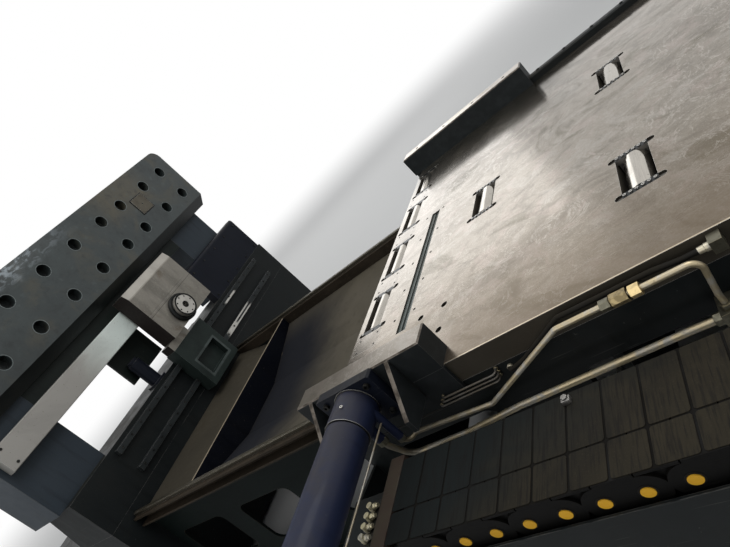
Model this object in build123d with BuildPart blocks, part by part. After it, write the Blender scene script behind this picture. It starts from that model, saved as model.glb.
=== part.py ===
"""Plate sawing and milling machine: roller table, chip trough and saw unit.

Lengths are in millimetres. X runs along the table, from the saw unit on the left to the
table's free end on the right. Y runs from the operator's side to the rear. Z is up and the
floor is at zero.
"""
from build123d import *
import os

os.makedirs("parts", exist_ok=True)

CORNER = (Align.MIN, Align.MIN, Align.MIN)
ALONG_Y = (90, 0, 0)
ALONG_X = (0, 90, 0)

# Overall layout
table_length = 2600
table_width = 1834
table_height = 650
plate_thickness = 75
saw_reach = 2300
front_reach = 930
rear_reach = 2080
seat_gap = 0.3

left_x = (saw_reach - table_length) / 2
front_y = (front_reach - rear_reach) / 2
top_z = table_height
under_z = top_z - plate_thickness
right_x = left_x + table_length
rear_y = front_y + table_width

# Support rollers sunk into the table
roller_radius = 40
roller_rise = 2
roller_column_start = 544
roller_column_pitch = 556
roller_columns = 4
roller_row_near = 416
roller_row_middle = 878
roller_row_far = 1228
bearing_spacing = 215
bearing_width = 24
bearing_length = 138
bearing_cap_height = 14
bearing_cap_bar = 96
bearing_end_drop = 8
bearing_depth = 60
bearing_block_width = 20
roller_pocket_width = 96
block_gap = 3
journal_radius = 12
journal_fit = 0.05
roller_end_gap = 2

# Rollers along the table's left edge
edge_roller_radius = 30
edge_roller_start = 523
edge_roller_end = 237
edge_roller_count = 4
edge_roller_inset = 74
edge_bearing_spacing = 229
edge_bearing_inset = 81
edge_pocket_width = 88
edge_cover_length = 120
edge_cover_gap = 6.5
edge_cover_thickness = 8
edge_cover_inset = 74
edge_cover_screw_inset = 15
screw_hole_radius = 5

# Blade slot and fixing holes in the table
slot_inset = 237
slot_start = 285
slot_width = 44
slot_length = 800
slot_drop = 6
slot_groove_width = 12
slot_groove_depth = 5
fixing_hole_radius = 6
fixing_hole_pitch = 176
fixing_hole_start = 377
fixing_hole_rows = (206, 301)
fixing_hole_count = 5
bolt_hole_radius = 12
bolt_holes = ((349, 297), (449, 297), (449, 176))

# Fabricated bed under the table
wall_thickness = 30
rib_thickness = 24
foot_width = 150
foot_thickness = 30
pad_radius = 55
pad_height = 20
window_width = 380
window_height = 280
window_radius = 40

# Block and cylinder at the table's near left corner
block_left = -13
block_length = 516
block_front = -13
block_depth = 85
block_height = 105
block_chamfer = 4
bracket_drop = 120
gusset_reach = 121
gusset_drop = 60
gusset_thickness = 15
gusset_positions = (44, 374)
cylinder_inset = 215
cylinder_rise = 37
cylinder_radius = 62
cylinder_head_radius = 65
cylinder_head_length = 105
cylinder_groove = 4
cylinder_cap_radius = 70
cylinder_cap_length = 60
port_radius = 16
port_drop = 27
port_set_back = 60
port_side = 25
return_port_radius = 13
return_port_drop = 137
return_port_set_back = 27
return_port_side = 50
cap_port_drop = 71
cap_port_inset = 35
flange_length = 224
flange_top = 110
flange_bottom = -50
flange_thickness = 35

# Bar along the table's rear edge
far_bar_left = -40
far_bar_length = 788
far_bar_overlap = 17
far_bar_depth = 85
far_bar_height = 113
far_bar_drop = 110
far_bar_hole_radius = 9
far_bar_holes = 4
far_bar_chamfer = 5
rear_rail_depth = 46
rear_rail_rise = 34
rear_rail_drop = 90

# Drag chain on its tray along the bed's front
chain_pitch = 83
chain_links = 17
chain_start = 348
chain_height = 90
chain_width = 250
chain_side = 8
chain_play = 0.4
chain_cover_thickness = 6
chain_cover_gap = 3
chain_lid_gap = 1
chain_axis_drop = 149
chain_front = 420
pin_radius = 13.5
pin_height = 3
tray_thickness = 6
tray_lip = 34
tray_fascia = 150
tray_margin = 14
tray_back = 150
tray_arm_drop = 20
tray_bar_start = 252
tray_bar_width = 50
tray_bar_height = 100
tray_bracket_thickness = 12
tray_bracket_depth = 160
tray_bracket_pitch = 400

# Hydraulic tubes along the bed's front
tube_radius = 9
high_tube_radius = 7
tube_stand_off = 46
tube_bend = 34
high_tube_bend = 24
low_tube_drop = 178
low_tube_dip = 203
high_tube_drop = 22
high_tube_dip = 146
union_parts = ((948, 23, 24), (974, 38, 28), (1017, 24, 26))
port_block_size = 40
tube_drop_inset = 1150
low_tube_stub = 30
low_tube_turn = 15
low_tube_step = 10
low_tube_bends = (420, 611, 1060)
high_tube_stub = 15
high_tube_turn = 292
high_tube_slope = (556, 832)
high_tube_end = 13
high_tube_end_rise = 40

# Thin tubes and the hose in front of the bed
lube_tube_radius = 3
lube_tube_bend = 10
lube_tube_stand_off = 26
lube_tubes_laid = ((434, 613, 80), (422, 612, 92), (408, 609, 104))
side_tube_side = 52
side_tube_drop = 22
hose_radius = 6.5
hose_bend = 14
hose_route = ((648, 95), (704, 80), (843, 14), (1070, 15), (1130, 22), (1190, 22))
hose_stand_off = 20
hose_block_length = 26
hose_block_depth = 34
hose_block_height = 30
hose_block_drop = 8

# Valve row on the tray below the cylinder
valve_block_start = 178
valve_block_width = 38
valve_block_near = 388
valve_block_length = 140
valve_block_drop = 126
valve_count = 4
valve_pitch = 30
valve_radius = 9
valve_height = 22
valve_stub_radius = 6
valve_stub_length = 26

# Chip trough between the table and the saw unit
trough_length = 1440
trough_near = 44
trough_far = 1250
trough_rail_width = 60
trough_rail_height = 75
trough_flange = 10
guide_width = 20
guide_height = 16
partition_distance = 955
sheet = 8
pan_depth = 150
pan_floor_start = 450
pan_floor_end = 781
side_sheet = 12
side_window_width = 340
side_window_height = 250
chute_rise = 100

# Saw unit
saw_front = 1440
saw_side_near = -60
saw_base_height = 680
saw_wall_height = 912
saw_wall_depth = 260
saw_wall_flare = 60
beam_near = -90
beam_length = 2112
beam_bottom = 735
beam_height = 473
beam_depth = 360
beam_front_set = 32
beam_chamfer = 60
beam_corner = 60
beam_hole_radius = 35
beam_hole_depth = 60
beam_hole_low = 151
beam_hole_high = 341
beam_hole_offsets = (118, 364, 610, 865, 1111, 1353, 1545, 1794, 1994)
beam_pad_start = 1529
beam_pad_length = 108
beam_pad_low = 948
beam_pad_height = 108
beam_pad_thickness = 4
beam_pad_hole_radius = 5
column_depth = 300
column_set = 60
column_near_length = 330
column_far_start = 1600
column_far_length = 330
cover_start = 1421
cover_length = 640
cover_height = 270
cover_depth = 58
cover_round = 20
guide_bar_start = -60
guide_bar_length = 960
guide_bar_low = 534
guide_bar_height = 128
guide_bar_depth = 60
web_height = 78
web_depth = 40
web_plate_start = 650
web_plate_length = 280
web_plate_drop = 390
web_plate_thickness = 15
motor_set_back = 40
motor_start = 716
motor_radius = 38
motor_bar_gap = 89
motor_foot_length = 92
motor_foot_width = 80
motor_foot_thickness = 12
motor_end_radius = 30
motor_end_height = 15

# Rails and carriage on the saw unit's front
rail_depth = 25
rail_height = 30
rail_low = 90
rail_high = 225
rail_start = 250
rail_length = 1650
saddle_start = 840
saddle_length = 290
saddle_bottom = 8
saddle_height = 300
saddle_depth = 90
saddle_window_width = 190
saddle_window_height = 120
saddle_window_rise = 108
saddle_window_depth = 42
rail_clearance = 5
runner_gap = 0.5
carriage_start = 878
carriage_length = 421
carriage_bottom = 353
carriage_height = 360
carriage_depth = 125
carriage_back_gap = 15
carriage_bevel = 14
carriage_groove_rise = 180
carriage_groove_width = 4
carriage_groove_depth = 2
carriage_link_length = 170
spindle_offset = 190
spindle_rise = 77
spindle_bore_radius = 45
spindle_bore_depth = 90
spindle_fit = 0.05
ring_outer_radius = 84
ring_inner_radius = 55
ring_depth = 20
nose_radius = 68
nose_depth = 22
nose_gap = 3
nose_bore_radius = 20
nose_bore_depth = 30
nose_hole_radius = 5
nose_hole_circle = 50
nose_hole_count = 8


# Roller places: single rollers on the odd columns, pairs on the even ones
roller_places = []
for column in range(roller_columns):
    place_x = left_x + roller_column_start + column * roller_column_pitch
    rows = (roller_row_middle,) if column % 2 == 0 else (roller_row_near, roller_row_far)
    for row in rows:
        roller_places.append((place_x, front_y + row))

edge_roller_pitch = (table_width - edge_roller_start - edge_roller_end) / (edge_roller_count - 1)
edge_places = []
for index in range(edge_roller_count):
    edge_y = front_y + edge_roller_start + index * edge_roller_pitch
    edge_places.append((left_x + edge_roller_inset, edge_y))

cover_places = []
for index in range(edge_roller_count):
    cover_y = front_y + edge_roller_start + (index - 0.5) * edge_roller_pitch
    cover_places.append((left_x + edge_cover_inset, cover_y))

edge_bearing_x = left_x + edge_bearing_inset
edge_cover_width = edge_roller_pitch - edge_bearing_spacing - bearing_width - 2 * edge_cover_gap
screw_spacing_x = edge_cover_length - 2 * edge_cover_screw_inset
screw_spacing_y = edge_cover_width - 2 * edge_cover_screw_inset
slot_center = (left_x + slot_inset + slot_width / 2, front_y + slot_start + slot_length / 2)

# Table plate with its roller pockets, blade slot and holes
with BuildPart() as table_plate:
    with Locations((left_x, front_y, under_z)):
        Box(table_length, table_width, plate_thickness, align=CORNER)
    with BuildSketch(Plane.XY.offset(top_z)):
        with Locations(*roller_places):
            Rectangle(roller_pocket_width, bearing_spacing + bearing_width + 2 * seat_gap)
        with Locations(*edge_places):
            Rectangle(edge_pocket_width, edge_bearing_spacing + bearing_width + 2 * seat_gap)
        with Locations(slot_center):
            Rectangle(slot_width, slot_length)
    extrude(amount=-plate_thickness, mode=Mode.SUBTRACT)
    with BuildSketch(Plane.XY.offset(top_z)):
        for place_x, place_y in roller_places:
            with Locations((place_x, place_y)):
                with GridLocations(0, bearing_spacing, 1, 2):
                    SlotOverall(bearing_length + 2 * seat_gap, bearing_width + 2 * seat_gap)
        for place_x, place_y in edge_places:
            with Locations((edge_bearing_x, place_y)):
                with GridLocations(0, edge_bearing_spacing, 1, 2):
                    SlotOverall(bearing_length + 2 * seat_gap, bearing_width + 2 * seat_gap)
    extrude(amount=-bearing_cap_height, mode=Mode.SUBTRACT)
    with BuildSketch(Plane.XY.offset(top_z)):
        with Locations(*cover_places):
            Rectangle(edge_cover_length + 2 * seat_gap, edge_cover_width + 2 * seat_gap)
    extrude(amount=-edge_cover_thickness, mode=Mode.SUBTRACT)
    with BuildSketch(Plane.XY.offset(top_z)):
        for row in fixing_hole_rows:
            for index in range(fixing_hole_count):
                hole_y = front_y + fixing_hole_start + index * fixing_hole_pitch
                with Locations((left_x + row, hole_y)):
                    Circle(fixing_hole_radius)
        for hole_x, hole_y in bolt_holes:
            with Locations((left_x + hole_x, front_y + hole_y)):
                Circle(bolt_hole_radius)
    extrude(amount=-plate_thickness, mode=Mode.SUBTRACT)
table_plate.part.label = "table_plate"
export_step(table_plate.part, "parts/table_plate.step")

# Grooved insert that fills the blade slot
with BuildPart() as slot_insert:
    with Locations((slot_center[0], slot_center[1], under_z)):
        Box(
            slot_width - 2 * seat_gap,
            slot_length - 2 * seat_gap,
            plate_thickness - slot_drop,
            align=(Align.CENTER, Align.CENTER, Align.MIN),
        )
    with Locations((slot_center[0], slot_center[1], top_z - slot_drop)):
        Box(
            slot_groove_width,
            slot_length,
            slot_groove_depth,
            align=(Align.CENTER, Align.CENTER, Align.MAX),
            mode=Mode.SUBTRACT,
        )
slot_insert.part.label = "slot_insert"
export_step(slot_insert.part, "parts/slot_insert.step")


def bearing_pair(cap_x, axis_x, center_y, spacing, pocket_width, axis_z):
    """Two capped bearing blocks, one at each end of a roller."""
    with BuildPart() as pair:
        for side in (-1, 1):
            block_y = center_y + side * spacing / 2
            with BuildSketch(Plane.XY.offset(top_z - bearing_end_drop)):
                with Locations((cap_x, block_y)):
                    SlotOverall(bearing_length, bearing_width)
            extrude(amount=bearing_end_drop - bearing_cap_height)
            with Locations((cap_x, block_y, top_z - bearing_end_drop)):
                Box(
                    bearing_cap_bar,
                    bearing_width,
                    bearing_end_drop,
                    align=(Align.CENTER, Align.CENTER, Align.MIN),
                )
            with Locations((axis_x, block_y, top_z - bearing_depth)):
                Box(
                    pocket_width - 2 * block_gap,
                    bearing_block_width,
                    bearing_depth - bearing_cap_height,
                    align=(Align.CENTER, Align.CENTER, Align.MIN),
                )
            with Locations((axis_x, block_y, axis_z)):
                Cylinder(
                    journal_radius + journal_fit,
                    bearing_block_width + 2,
                    rotation=ALONG_Y,
                    mode=Mode.SUBTRACT,
                )
    return pair


def roller(radius, spacing, axis_x, center_y, axis_z):
    """A plain roller with a journal at each end."""
    drum_length = spacing - bearing_block_width - 2 * roller_end_gap
    journal_length = spacing + bearing_block_width - 2 * roller_end_gap
    with BuildPart() as drum:
        with Locations((axis_x, center_y, axis_z)):
            Cylinder(radius, drum_length, rotation=ALONG_Y)
            Cylinder(journal_radius, journal_length, rotation=ALONG_Y)
    return drum


roller_axis_z = top_z + roller_rise - roller_radius
edge_axis_z = top_z + roller_rise - edge_roller_radius

bearing_pairs = []
for place_x, place_y in roller_places:
    pair = bearing_pair(
        place_x, place_x, place_y, bearing_spacing, roller_pocket_width, roller_axis_z
    )
    bearing_pairs.append(pair.part)
with BuildPart() as roller_bearings:
    add(bearing_pairs)
roller_bearings.part.label = "roller_bearings"
export_step(roller_bearings.part, "parts/roller_bearings.step")

edge_pairs = []
for place_x, place_y in edge_places:
    pair = bearing_pair(
        edge_bearing_x, place_x, place_y, edge_bearing_spacing, edge_pocket_width, edge_axis_z
    )
    edge_pairs.append(pair.part)
with BuildPart() as edge_bearings:
    add(edge_pairs)
edge_bearings.part.label = "edge_bearings"
export_step(edge_bearings.part, "parts/edge_bearings.step")

for number, (place_x, place_y) in enumerate(roller_places, start=1):
    table_roller = roller(roller_radius, bearing_spacing, place_x, place_y, roller_axis_z)
    table_roller.part.label = f"roller_{number}"
    export_step(table_roller.part, f"parts/roller_{number}.step")

for number, (place_x, place_y) in enumerate(edge_places, start=1):
    edge_roller = roller(edge_roller_radius, edge_bearing_spacing, place_x, place_y, edge_axis_z)
    edge_roller.part.label = f"edge_roller_{number}"
    export_step(edge_roller.part, f"parts/edge_roller_{number}.step")

# Screwed plates between the edge rollers
with BuildPart() as edge_covers:
    with BuildSketch(Plane.XY.offset(top_z)):
        for place in cover_places:
            with Locations(place):
                Rectangle(edge_cover_length, edge_cover_width)
                with GridLocations(screw_spacing_x, screw_spacing_y, 2, 2):
                    Circle(screw_hole_radius, mode=Mode.SUBTRACT)
    extrude(amount=-edge_cover_thickness)
edge_covers.part.label = "edge_covers"
export_step(edge_covers.part, "parts/edge_covers.step")


def bed_wall(wall_y, foot_y):
    """A long bed wall with windows and a foot flange, standing on the pads."""
    wall_height = under_z - pad_height
    window_z = pad_height + foot_thickness + (wall_height - foot_thickness) / 2
    with BuildPart() as wall:
        with Locations((left_x, wall_y, pad_height)):
            Box(table_length, wall_thickness, wall_height, align=CORNER)
        with Locations((left_x, foot_y, pad_height)):
            Box(table_length, foot_width, foot_thickness, align=CORNER)
        with BuildSketch(Plane.XZ.offset(-wall_y)):
            with Locations(((left_x + right_x) / 2, window_z)):
                with GridLocations(table_length / 4, 0, 4, 1):
                    RectangleRounded(window_width, window_height, window_radius)
        extrude(amount=-wall_thickness, mode=Mode.SUBTRACT)
    return wall


bed_wall_front = bed_wall(front_y, front_y)
bed_wall_front.part.label = "bed_wall_front"
export_step(bed_wall_front.part, "parts/bed_wall_front.step")

bed_wall_rear = bed_wall(rear_y - wall_thickness, rear_y - foot_width)
bed_wall_rear.part.label = "bed_wall_rear"
export_step(bed_wall_rear.part, "parts/bed_wall_rear.step")

# Cross walls between the long walls, two at the ends and two ribs inside
cross_walls = {
    "bed_wall_left": (wall_thickness, (0,)),
    "bed_ribs": (rib_thickness, (1, 2)),
    "bed_wall_right": (wall_thickness, (3,)),
}
cross_bottom = pad_height + foot_thickness
for name, (thickness, thirds) in cross_walls.items():
    with BuildPart() as cross_wall:
        for third in thirds:
            cross_x = left_x + third * (table_length - thickness) / 3
            with Locations((cross_x, front_y + wall_thickness, cross_bottom)):
                Box(
                    thickness,
                    table_width - 2 * wall_thickness,
                    under_z - cross_bottom,
                    align=CORNER,
                )
    cross_wall.part.label = name
    export_step(cross_wall.part, f"parts/{name}.step")

# Block on the table's near left corner
with BuildPart() as near_block:
    with Locations((left_x + block_left, front_y + block_front, top_z)):
        Box(block_length, block_depth, block_height, align=CORNER)
    chamfer(near_block.edges().group_by(Axis.Z)[-1], block_chamfer)
near_block.part.label = "near_block"
export_step(near_block.part, "parts/near_block.step")

# Bracket below the block: back plate and two sloping gussets
block_face = front_y + block_front
gusset_z = top_z - gusset_drop
gusset_top_z = top_z + block_height - block_chamfer
with BuildPart() as cylinder_bracket:
    with Locations((left_x + block_left, block_face, top_z - bracket_drop)):
        Box(block_length, -block_front, bracket_drop, align=CORNER)
    for gusset_x in gusset_positions:
        with BuildSketch(Plane.YZ.offset(left_x + gusset_x)):
            with BuildLine():
                Polyline(
                    (block_face, gusset_z),
                    (block_face, gusset_top_z),
                    (block_face - gusset_reach, gusset_top_z - gusset_reach),
                    (block_face - gusset_reach, gusset_z),
                    close=True,
                )
            make_face()
        extrude(amount=gusset_thickness)
cylinder_bracket.part.label = "cylinder_bracket"
export_step(cylinder_bracket.part, "parts/cylinder_bracket.step")

# Cylinder flange bolted to the block, and the barrel that runs towards the operator
cylinder_x = left_x + cylinder_inset
cylinder_z = top_z + cylinder_rise
flange_face = block_face - flange_thickness
with BuildPart() as cylinder_flange:
    with Locations((cylinder_x, flange_face, top_z + flange_bottom)):
        Box(
            flange_length,
            flange_thickness,
            flange_top - flange_bottom,
            align=(Align.CENTER, Align.MIN, Align.MIN),
        )
    chamfer(cylinder_flange.edges().filter_by(Axis.Y), 6)
cylinder_flange.part.label = "cylinder_flange"
export_step(cylinder_flange.part, "parts/cylinder_flange.step")

barrel_length = front_reach - flange_thickness + block_front
port_y = flange_face - port_set_back
port_z = cylinder_z - cylinder_head_radius - port_drop
return_port_x = cylinder_x + return_port_side
return_port_y = flange_face - return_port_set_back
return_port_z = cylinder_z - return_port_drop
cap_port_y = flange_face - barrel_length + cap_port_inset
cap_port_z = cylinder_z - cap_port_drop
with BuildPart() as cylinder_barrel:
    with BuildSketch(Plane.YZ.offset(cylinder_x)):
        with BuildLine():
            Polyline(
                (flange_face, cylinder_z),
                (flange_face, cylinder_z + cylinder_head_radius),
                (flange_face - cylinder_head_length, cylinder_z + cylinder_head_radius),
                (flange_face - cylinder_head_length, cylinder_z + cylinder_radius - 3),
                (flange_face - cylinder_head_length - cylinder_groove, cylinder_z + cylinder_radius - 3),
                (flange_face - cylinder_head_length - cylinder_groove, cylinder_z + cylinder_radius),
                (flange_face - barrel_length + cylinder_cap_length, cylinder_z + cylinder_radius),
                (flange_face - barrel_length + cylinder_cap_length, cylinder_z + cylinder_cap_radius),
                (flange_face - barrel_length, cylinder_z + cylinder_cap_radius),
                (flange_face - barrel_length, cylinder_z),
                close=True,
            )
        make_face()
    revolve(axis=Axis((cylinder_x, flange_face, cylinder_z), (0, 1, 0)))
    with Locations((cylinder_x + port_side, port_y, port_z)):
        Cylinder(
            port_radius,
            cylinder_z - port_z - port_radius,
            align=(Align.CENTER, Align.CENTER, Align.MIN),
        )
    for low_y, low_z in ((return_port_y, return_port_z), (cap_port_y, cap_port_z)):
        with Locations((return_port_x, low_y, low_z)):
            Cylinder(
                return_port_radius,
                cylinder_z - low_z - return_port_radius,
                align=(Align.CENTER, Align.CENTER, Align.MIN),
            )
cylinder_barrel.part.label = "cylinder_barrel"
export_step(cylinder_barrel.part, "parts/cylinder_barrel.step")

# Bar on the table's rear edge, hooked over the edge, and the rail beside it
far_bar_x = left_x + far_bar_left
with BuildPart() as far_bar:
    with Locations((far_bar_x, rear_y - far_bar_overlap, top_z)):
        Box(far_bar_length, far_bar_depth, far_bar_height, align=CORNER)
    chamfer(far_bar.edges().group_by(Axis.Z)[-1], far_bar_chamfer)
    with Locations((far_bar_x, rear_y, top_z - far_bar_drop)):
        Box(far_bar_length, far_bar_depth - far_bar_overlap, far_bar_drop, align=CORNER)
    bar_middle = (far_bar_x + far_bar_length / 2, rear_y - far_bar_overlap + far_bar_depth / 2)
    with BuildSketch(Plane.XY.offset(top_z + far_bar_height)):
        with Locations(bar_middle):
            with GridLocations(far_bar_length / far_bar_holes, 0, far_bar_holes, 1):
                Circle(far_bar_hole_radius)
    extrude(amount=-30, mode=Mode.SUBTRACT)
far_bar.part.label = "far_bar"
export_step(far_bar.part, "parts/far_bar.step")

rear_rail_x = far_bar_x + far_bar_length + seat_gap
with BuildPart() as rear_rail:
    with Locations((rear_rail_x, rear_y, top_z - rear_rail_drop)):
        Box(right_x - rear_rail_x, rear_rail_depth, rear_rail_drop + rear_rail_rise, align=CORNER)
    chamfer(rear_rail.edges().group_by(Axis.Z)[-1].filter_by(Axis.X), 6)
rear_rail.part.label = "rear_rail"
export_step(rear_rail.part, "parts/rear_rail.step")

# Tray for the drag chain, carried by brackets on the bed's front wall
chain_z = top_z - chain_axis_drop
tray_z = chain_z - chain_height / 2 - chain_cover_thickness - tray_thickness
tray_front = front_y - chain_front - tray_margin
tray_depth = chain_front + tray_margin - tray_back
with BuildPart() as chain_tray:
    with Locations((left_x, tray_front, tray_z)):
        Box(table_length, tray_depth, tray_thickness, align=CORNER)
    with Locations((left_x, tray_front, tray_z)):
        Box(table_length, tray_thickness, tray_lip, align=CORNER)
    with Locations((left_x, tray_front, tray_z - tray_fascia)):
        Box(table_length, tray_thickness, tray_fascia, align=CORNER)
    bracket_count = int(table_length // tray_bracket_pitch) + 1
    bracket_span = (table_length - tray_bracket_thickness) / (bracket_count - 1)
    for index in range(bracket_count):
        with BuildSketch(Plane.YZ.offset(left_x + index * bracket_span)):
            with BuildLine():
                Polyline(
                    (front_y, tray_z - tray_arm_drop),
                    (front_y, tray_z - tray_bracket_depth),
                    (tray_front, tray_z - tray_fascia),
                    (tray_front, tray_z),
                    (front_y - tray_back, tray_z),
                    close=True,
                )
            make_face()
        extrude(amount=tray_bracket_thickness)
chain_tray.part.label = "chain_tray"
export_step(chain_tray.part, "parts/chain_tray.step")

# Flat bar across the tray where the chain starts
tray_top_z = tray_z + tray_thickness
with BuildPart() as tray_bar:
    with Locations((left_x + tray_bar_start, tray_front + tray_thickness, tray_top_z)):
        Box(
            tray_bar_width,
            tray_depth - tray_thickness,
            tray_bar_height,
            align=CORNER,
        )
tray_bar.part.label = "tray_bar"
export_step(tray_bar.part, "parts/tray_bar.step")

# Valve block on the tray below the cylinder, and the row of fittings on it
valve_x = left_x + valve_block_start + valve_block_width / 2
valve_top_z = top_z - valve_block_drop
with BuildPart() as valve_block:
    with Locations((left_x + valve_block_start, front_y - valve_block_near, tray_top_z)):
        Box(valve_block_width, valve_block_length, valve_top_z - tray_top_z, align=CORNER)
valve_block.part.label = "valve_block"
export_step(valve_block.part, "parts/valve_block.step")

with BuildPart() as valve_fittings:
    for index in range(valve_count):
        valve_y = front_y - valve_block_near + valve_block_length / 2
        valve_y += (index - (valve_count - 1) / 2) * valve_pitch
        with Locations((valve_x, valve_y, valve_top_z)):
            Cylinder(
                valve_radius,
                valve_height,
                align=(Align.CENTER, Align.CENTER, Align.MIN),
            )
        with Locations((valve_x, valve_y, valve_top_z + valve_height / 2)):
            Cylinder(
                valve_stub_radius,
                valve_stub_length,
                rotation=ALONG_X,
                align=(Align.CENTER, Align.CENTER, Align.MIN),
            )
valve_fittings.part.label = "valve_fittings"
export_step(valve_fittings.part, "parts/valve_fittings.step")

# Drag chain: each link has two side plates and two covers as wide as the chain, and every
# other link has its side plates set inwards so that neighbouring plates overlap at the pins
chain_near_y = front_y - chain_front
chain_x = left_x + chain_start
chain_cover_length = chain_pitch - chain_cover_gap
plate_length = chain_cover_length + chain_height - 2 * chain_lid_gap
with BuildPart() as drag_chain:
    for index in range(chain_links):
        link_x = chain_x + (index + 0.5) * chain_pitch
        inset = 0 if index % 2 == 0 else chain_side + chain_play
        near_side = chain_near_y + inset
        far_side = chain_near_y + chain_width - inset - chain_side
        for side_y in (near_side, far_side):
            with BuildSketch(Plane.XZ.offset(-side_y)):
                with Locations((link_x, chain_z)):
                    SlotOverall(plate_length, chain_height - 2 * chain_lid_gap)
                    Rectangle(chain_cover_length, chain_height)
            extrude(amount=-chain_side)
        for cover_z in (chain_z - chain_height / 2 - chain_cover_thickness, chain_z + chain_height / 2):
            with Locations((link_x, chain_near_y, cover_z)):
                Box(
                    chain_cover_length,
                    chain_width,
                    chain_cover_thickness,
                    align=(Align.CENTER, Align.MIN, Align.MIN),
                )
drag_chain.part.label = "drag_chain"
export_step(drag_chain.part, "parts/drag_chain.step")

# Round pin heads on the near side of the outer links
with BuildPart() as chain_pins:
    with BuildSketch(Plane.XZ.offset(-chain_near_y)):
        with Locations((chain_x + (chain_links - 1) * chain_pitch / 2, chain_z)):
            with GridLocations(chain_pitch, 0, chain_links, 1):
                Circle(pin_radius)
    extrude(amount=pin_height)
chain_pins.part.label = "chain_pins"
export_step(chain_pins.part, "parts/chain_pins.step")

# Hydraulic tubes in front of the bed, from the cylinder's ports to a port block
tube_y = front_y - tube_stand_off
low_z = top_z - low_tube_drop
low_dip_z = top_z - low_tube_dip
high_z = top_z - high_tube_drop
dip_z = top_z - high_tube_dip
drop_x = left_x + tube_drop_inset
block_x = drop_x - port_block_size / 2
block_z = low_z + port_block_size / 2


def tube(points, radius, bend):
    """A round tube along a path with rounded bends."""
    with BuildPart() as bent:
        with BuildLine() as path:
            FilletPolyline(*points, radius=bend)
        with BuildSketch(Plane(path.line @ 0, z_dir=path.line % 0)):
            Circle(radius)
        sweep()
    return bent


low_x = [left_x + bend for bend in low_tube_bends]
tube_low = tube(
    [
        (cylinder_x + port_side, port_y, port_z),
        (cylinder_x + port_side, port_y, port_z - low_tube_stub),
        (cylinder_x + port_side - low_tube_turn, tube_y - low_tube_step, low_dip_z + low_tube_step),
        (low_x[0], tube_y, low_dip_z),
        (low_x[1], tube_y, low_z - low_tube_step),
        (low_x[2], tube_y, low_z),
        (block_x, tube_y, low_z),
    ],
    tube_radius,
    tube_bend,
)
tube_low.part.label = "tube_low"
export_step(tube_low.part, "parts/tube_low.step")

slope_start, slope_end = high_tube_slope
tube_high = tube(
    [
        (return_port_x, return_port_y, return_port_z),
        (return_port_x, return_port_y, dip_z + high_tube_stub),
        (left_x + high_tube_turn, tube_y, dip_z + high_tube_stub),
        (left_x + slope_start, tube_y, dip_z),
        (left_x + slope_end, tube_y, high_z),
        (drop_x + high_tube_end, tube_y, high_z),
        (drop_x, tube_y, block_z + high_tube_end_rise),
        (drop_x, tube_y, block_z),
    ],
    high_tube_radius,
    high_tube_bend,
)
tube_high.part.label = "tube_high"
export_step(tube_high.part, "parts/tube_high.step")

# Thin tubes: three short loops on the bed's wall, and one along the cylinder
lube_y = front_y - lube_tube_stand_off
with BuildPart() as lube_tubes:
    for start, end, drop in lube_tubes_laid:
        loop_z = top_z - drop
        loop = tube(
            [
                (left_x + start, block_face, loop_z),
                (left_x + start, lube_y, loop_z),
                (left_x + end, lube_y, loop_z),
                (left_x + end, front_y, loop_z),
            ],
            lube_tube_radius,
            lube_tube_bend,
        )
        add(loop.part)
    with Locations((cylinder_x + side_tube_side, cap_port_y + return_port_radius, top_z - side_tube_drop)):
        Cylinder(
            lube_tube_radius,
            return_port_y - cap_port_y - 2 * return_port_radius,
            rotation=ALONG_Y,
            align=(Align.CENTER, Align.CENTER, Align.MAX),
        )
lube_tubes.part.label = "lube_tubes"
export_step(lube_tubes.part, "parts/lube_tubes.step")

# Hose along the table's front edge
hose_y = front_y - hose_stand_off
hose_points = [(left_x + along, hose_y, top_z - drop) for along, drop in hose_route]
hose_root = (hose_points[0][0], front_y, hose_points[0][2])
hose_block_x = hose_points[-1][0]
side_hose = tube([hose_root] + hose_points, hose_radius, hose_bend)
side_hose.part.label = "side_hose"
export_step(side_hose.part, "parts/side_hose.step")

# Union on the upper tube, the block that both tubes end in and the hose's end block
with BuildPart() as tube_fittings:
    for part_x, part_length, flats in union_parts:
        with BuildSketch(Plane.YZ.offset(left_x + part_x)):
            with Locations((tube_y, high_z)):
                RegularPolygon(flats / 2, 6, major_radius=False)
                Circle(high_tube_radius + seat_gap, mode=Mode.SUBTRACT)
        extrude(amount=part_length)
    with Locations((
        hose_block_x,
        front_y - hose_block_depth,
        top_z - hose_block_drop - hose_block_height,
    )):
        Box(hose_block_length, hose_block_depth, hose_block_height, align=CORNER)
    with Locations((block_x, tube_y - port_block_size / 2, low_z - port_block_size / 2)):
        Box(
            port_block_size,
            front_y - tube_y + port_block_size / 2,
            port_block_size,
            align=CORNER,
        )
tube_fittings.part.label = "tube_fittings"
export_step(tube_fittings.part, "parts/tube_fittings.step")

# Trough between the table and the saw unit
trough_left = left_x - trough_length
near_rail_y = front_y + trough_near
far_rail_y = front_y + trough_far - trough_rail_width
rail_top = top_z - guide_height
rail_bottom = top_z - trough_rail_height


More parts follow.
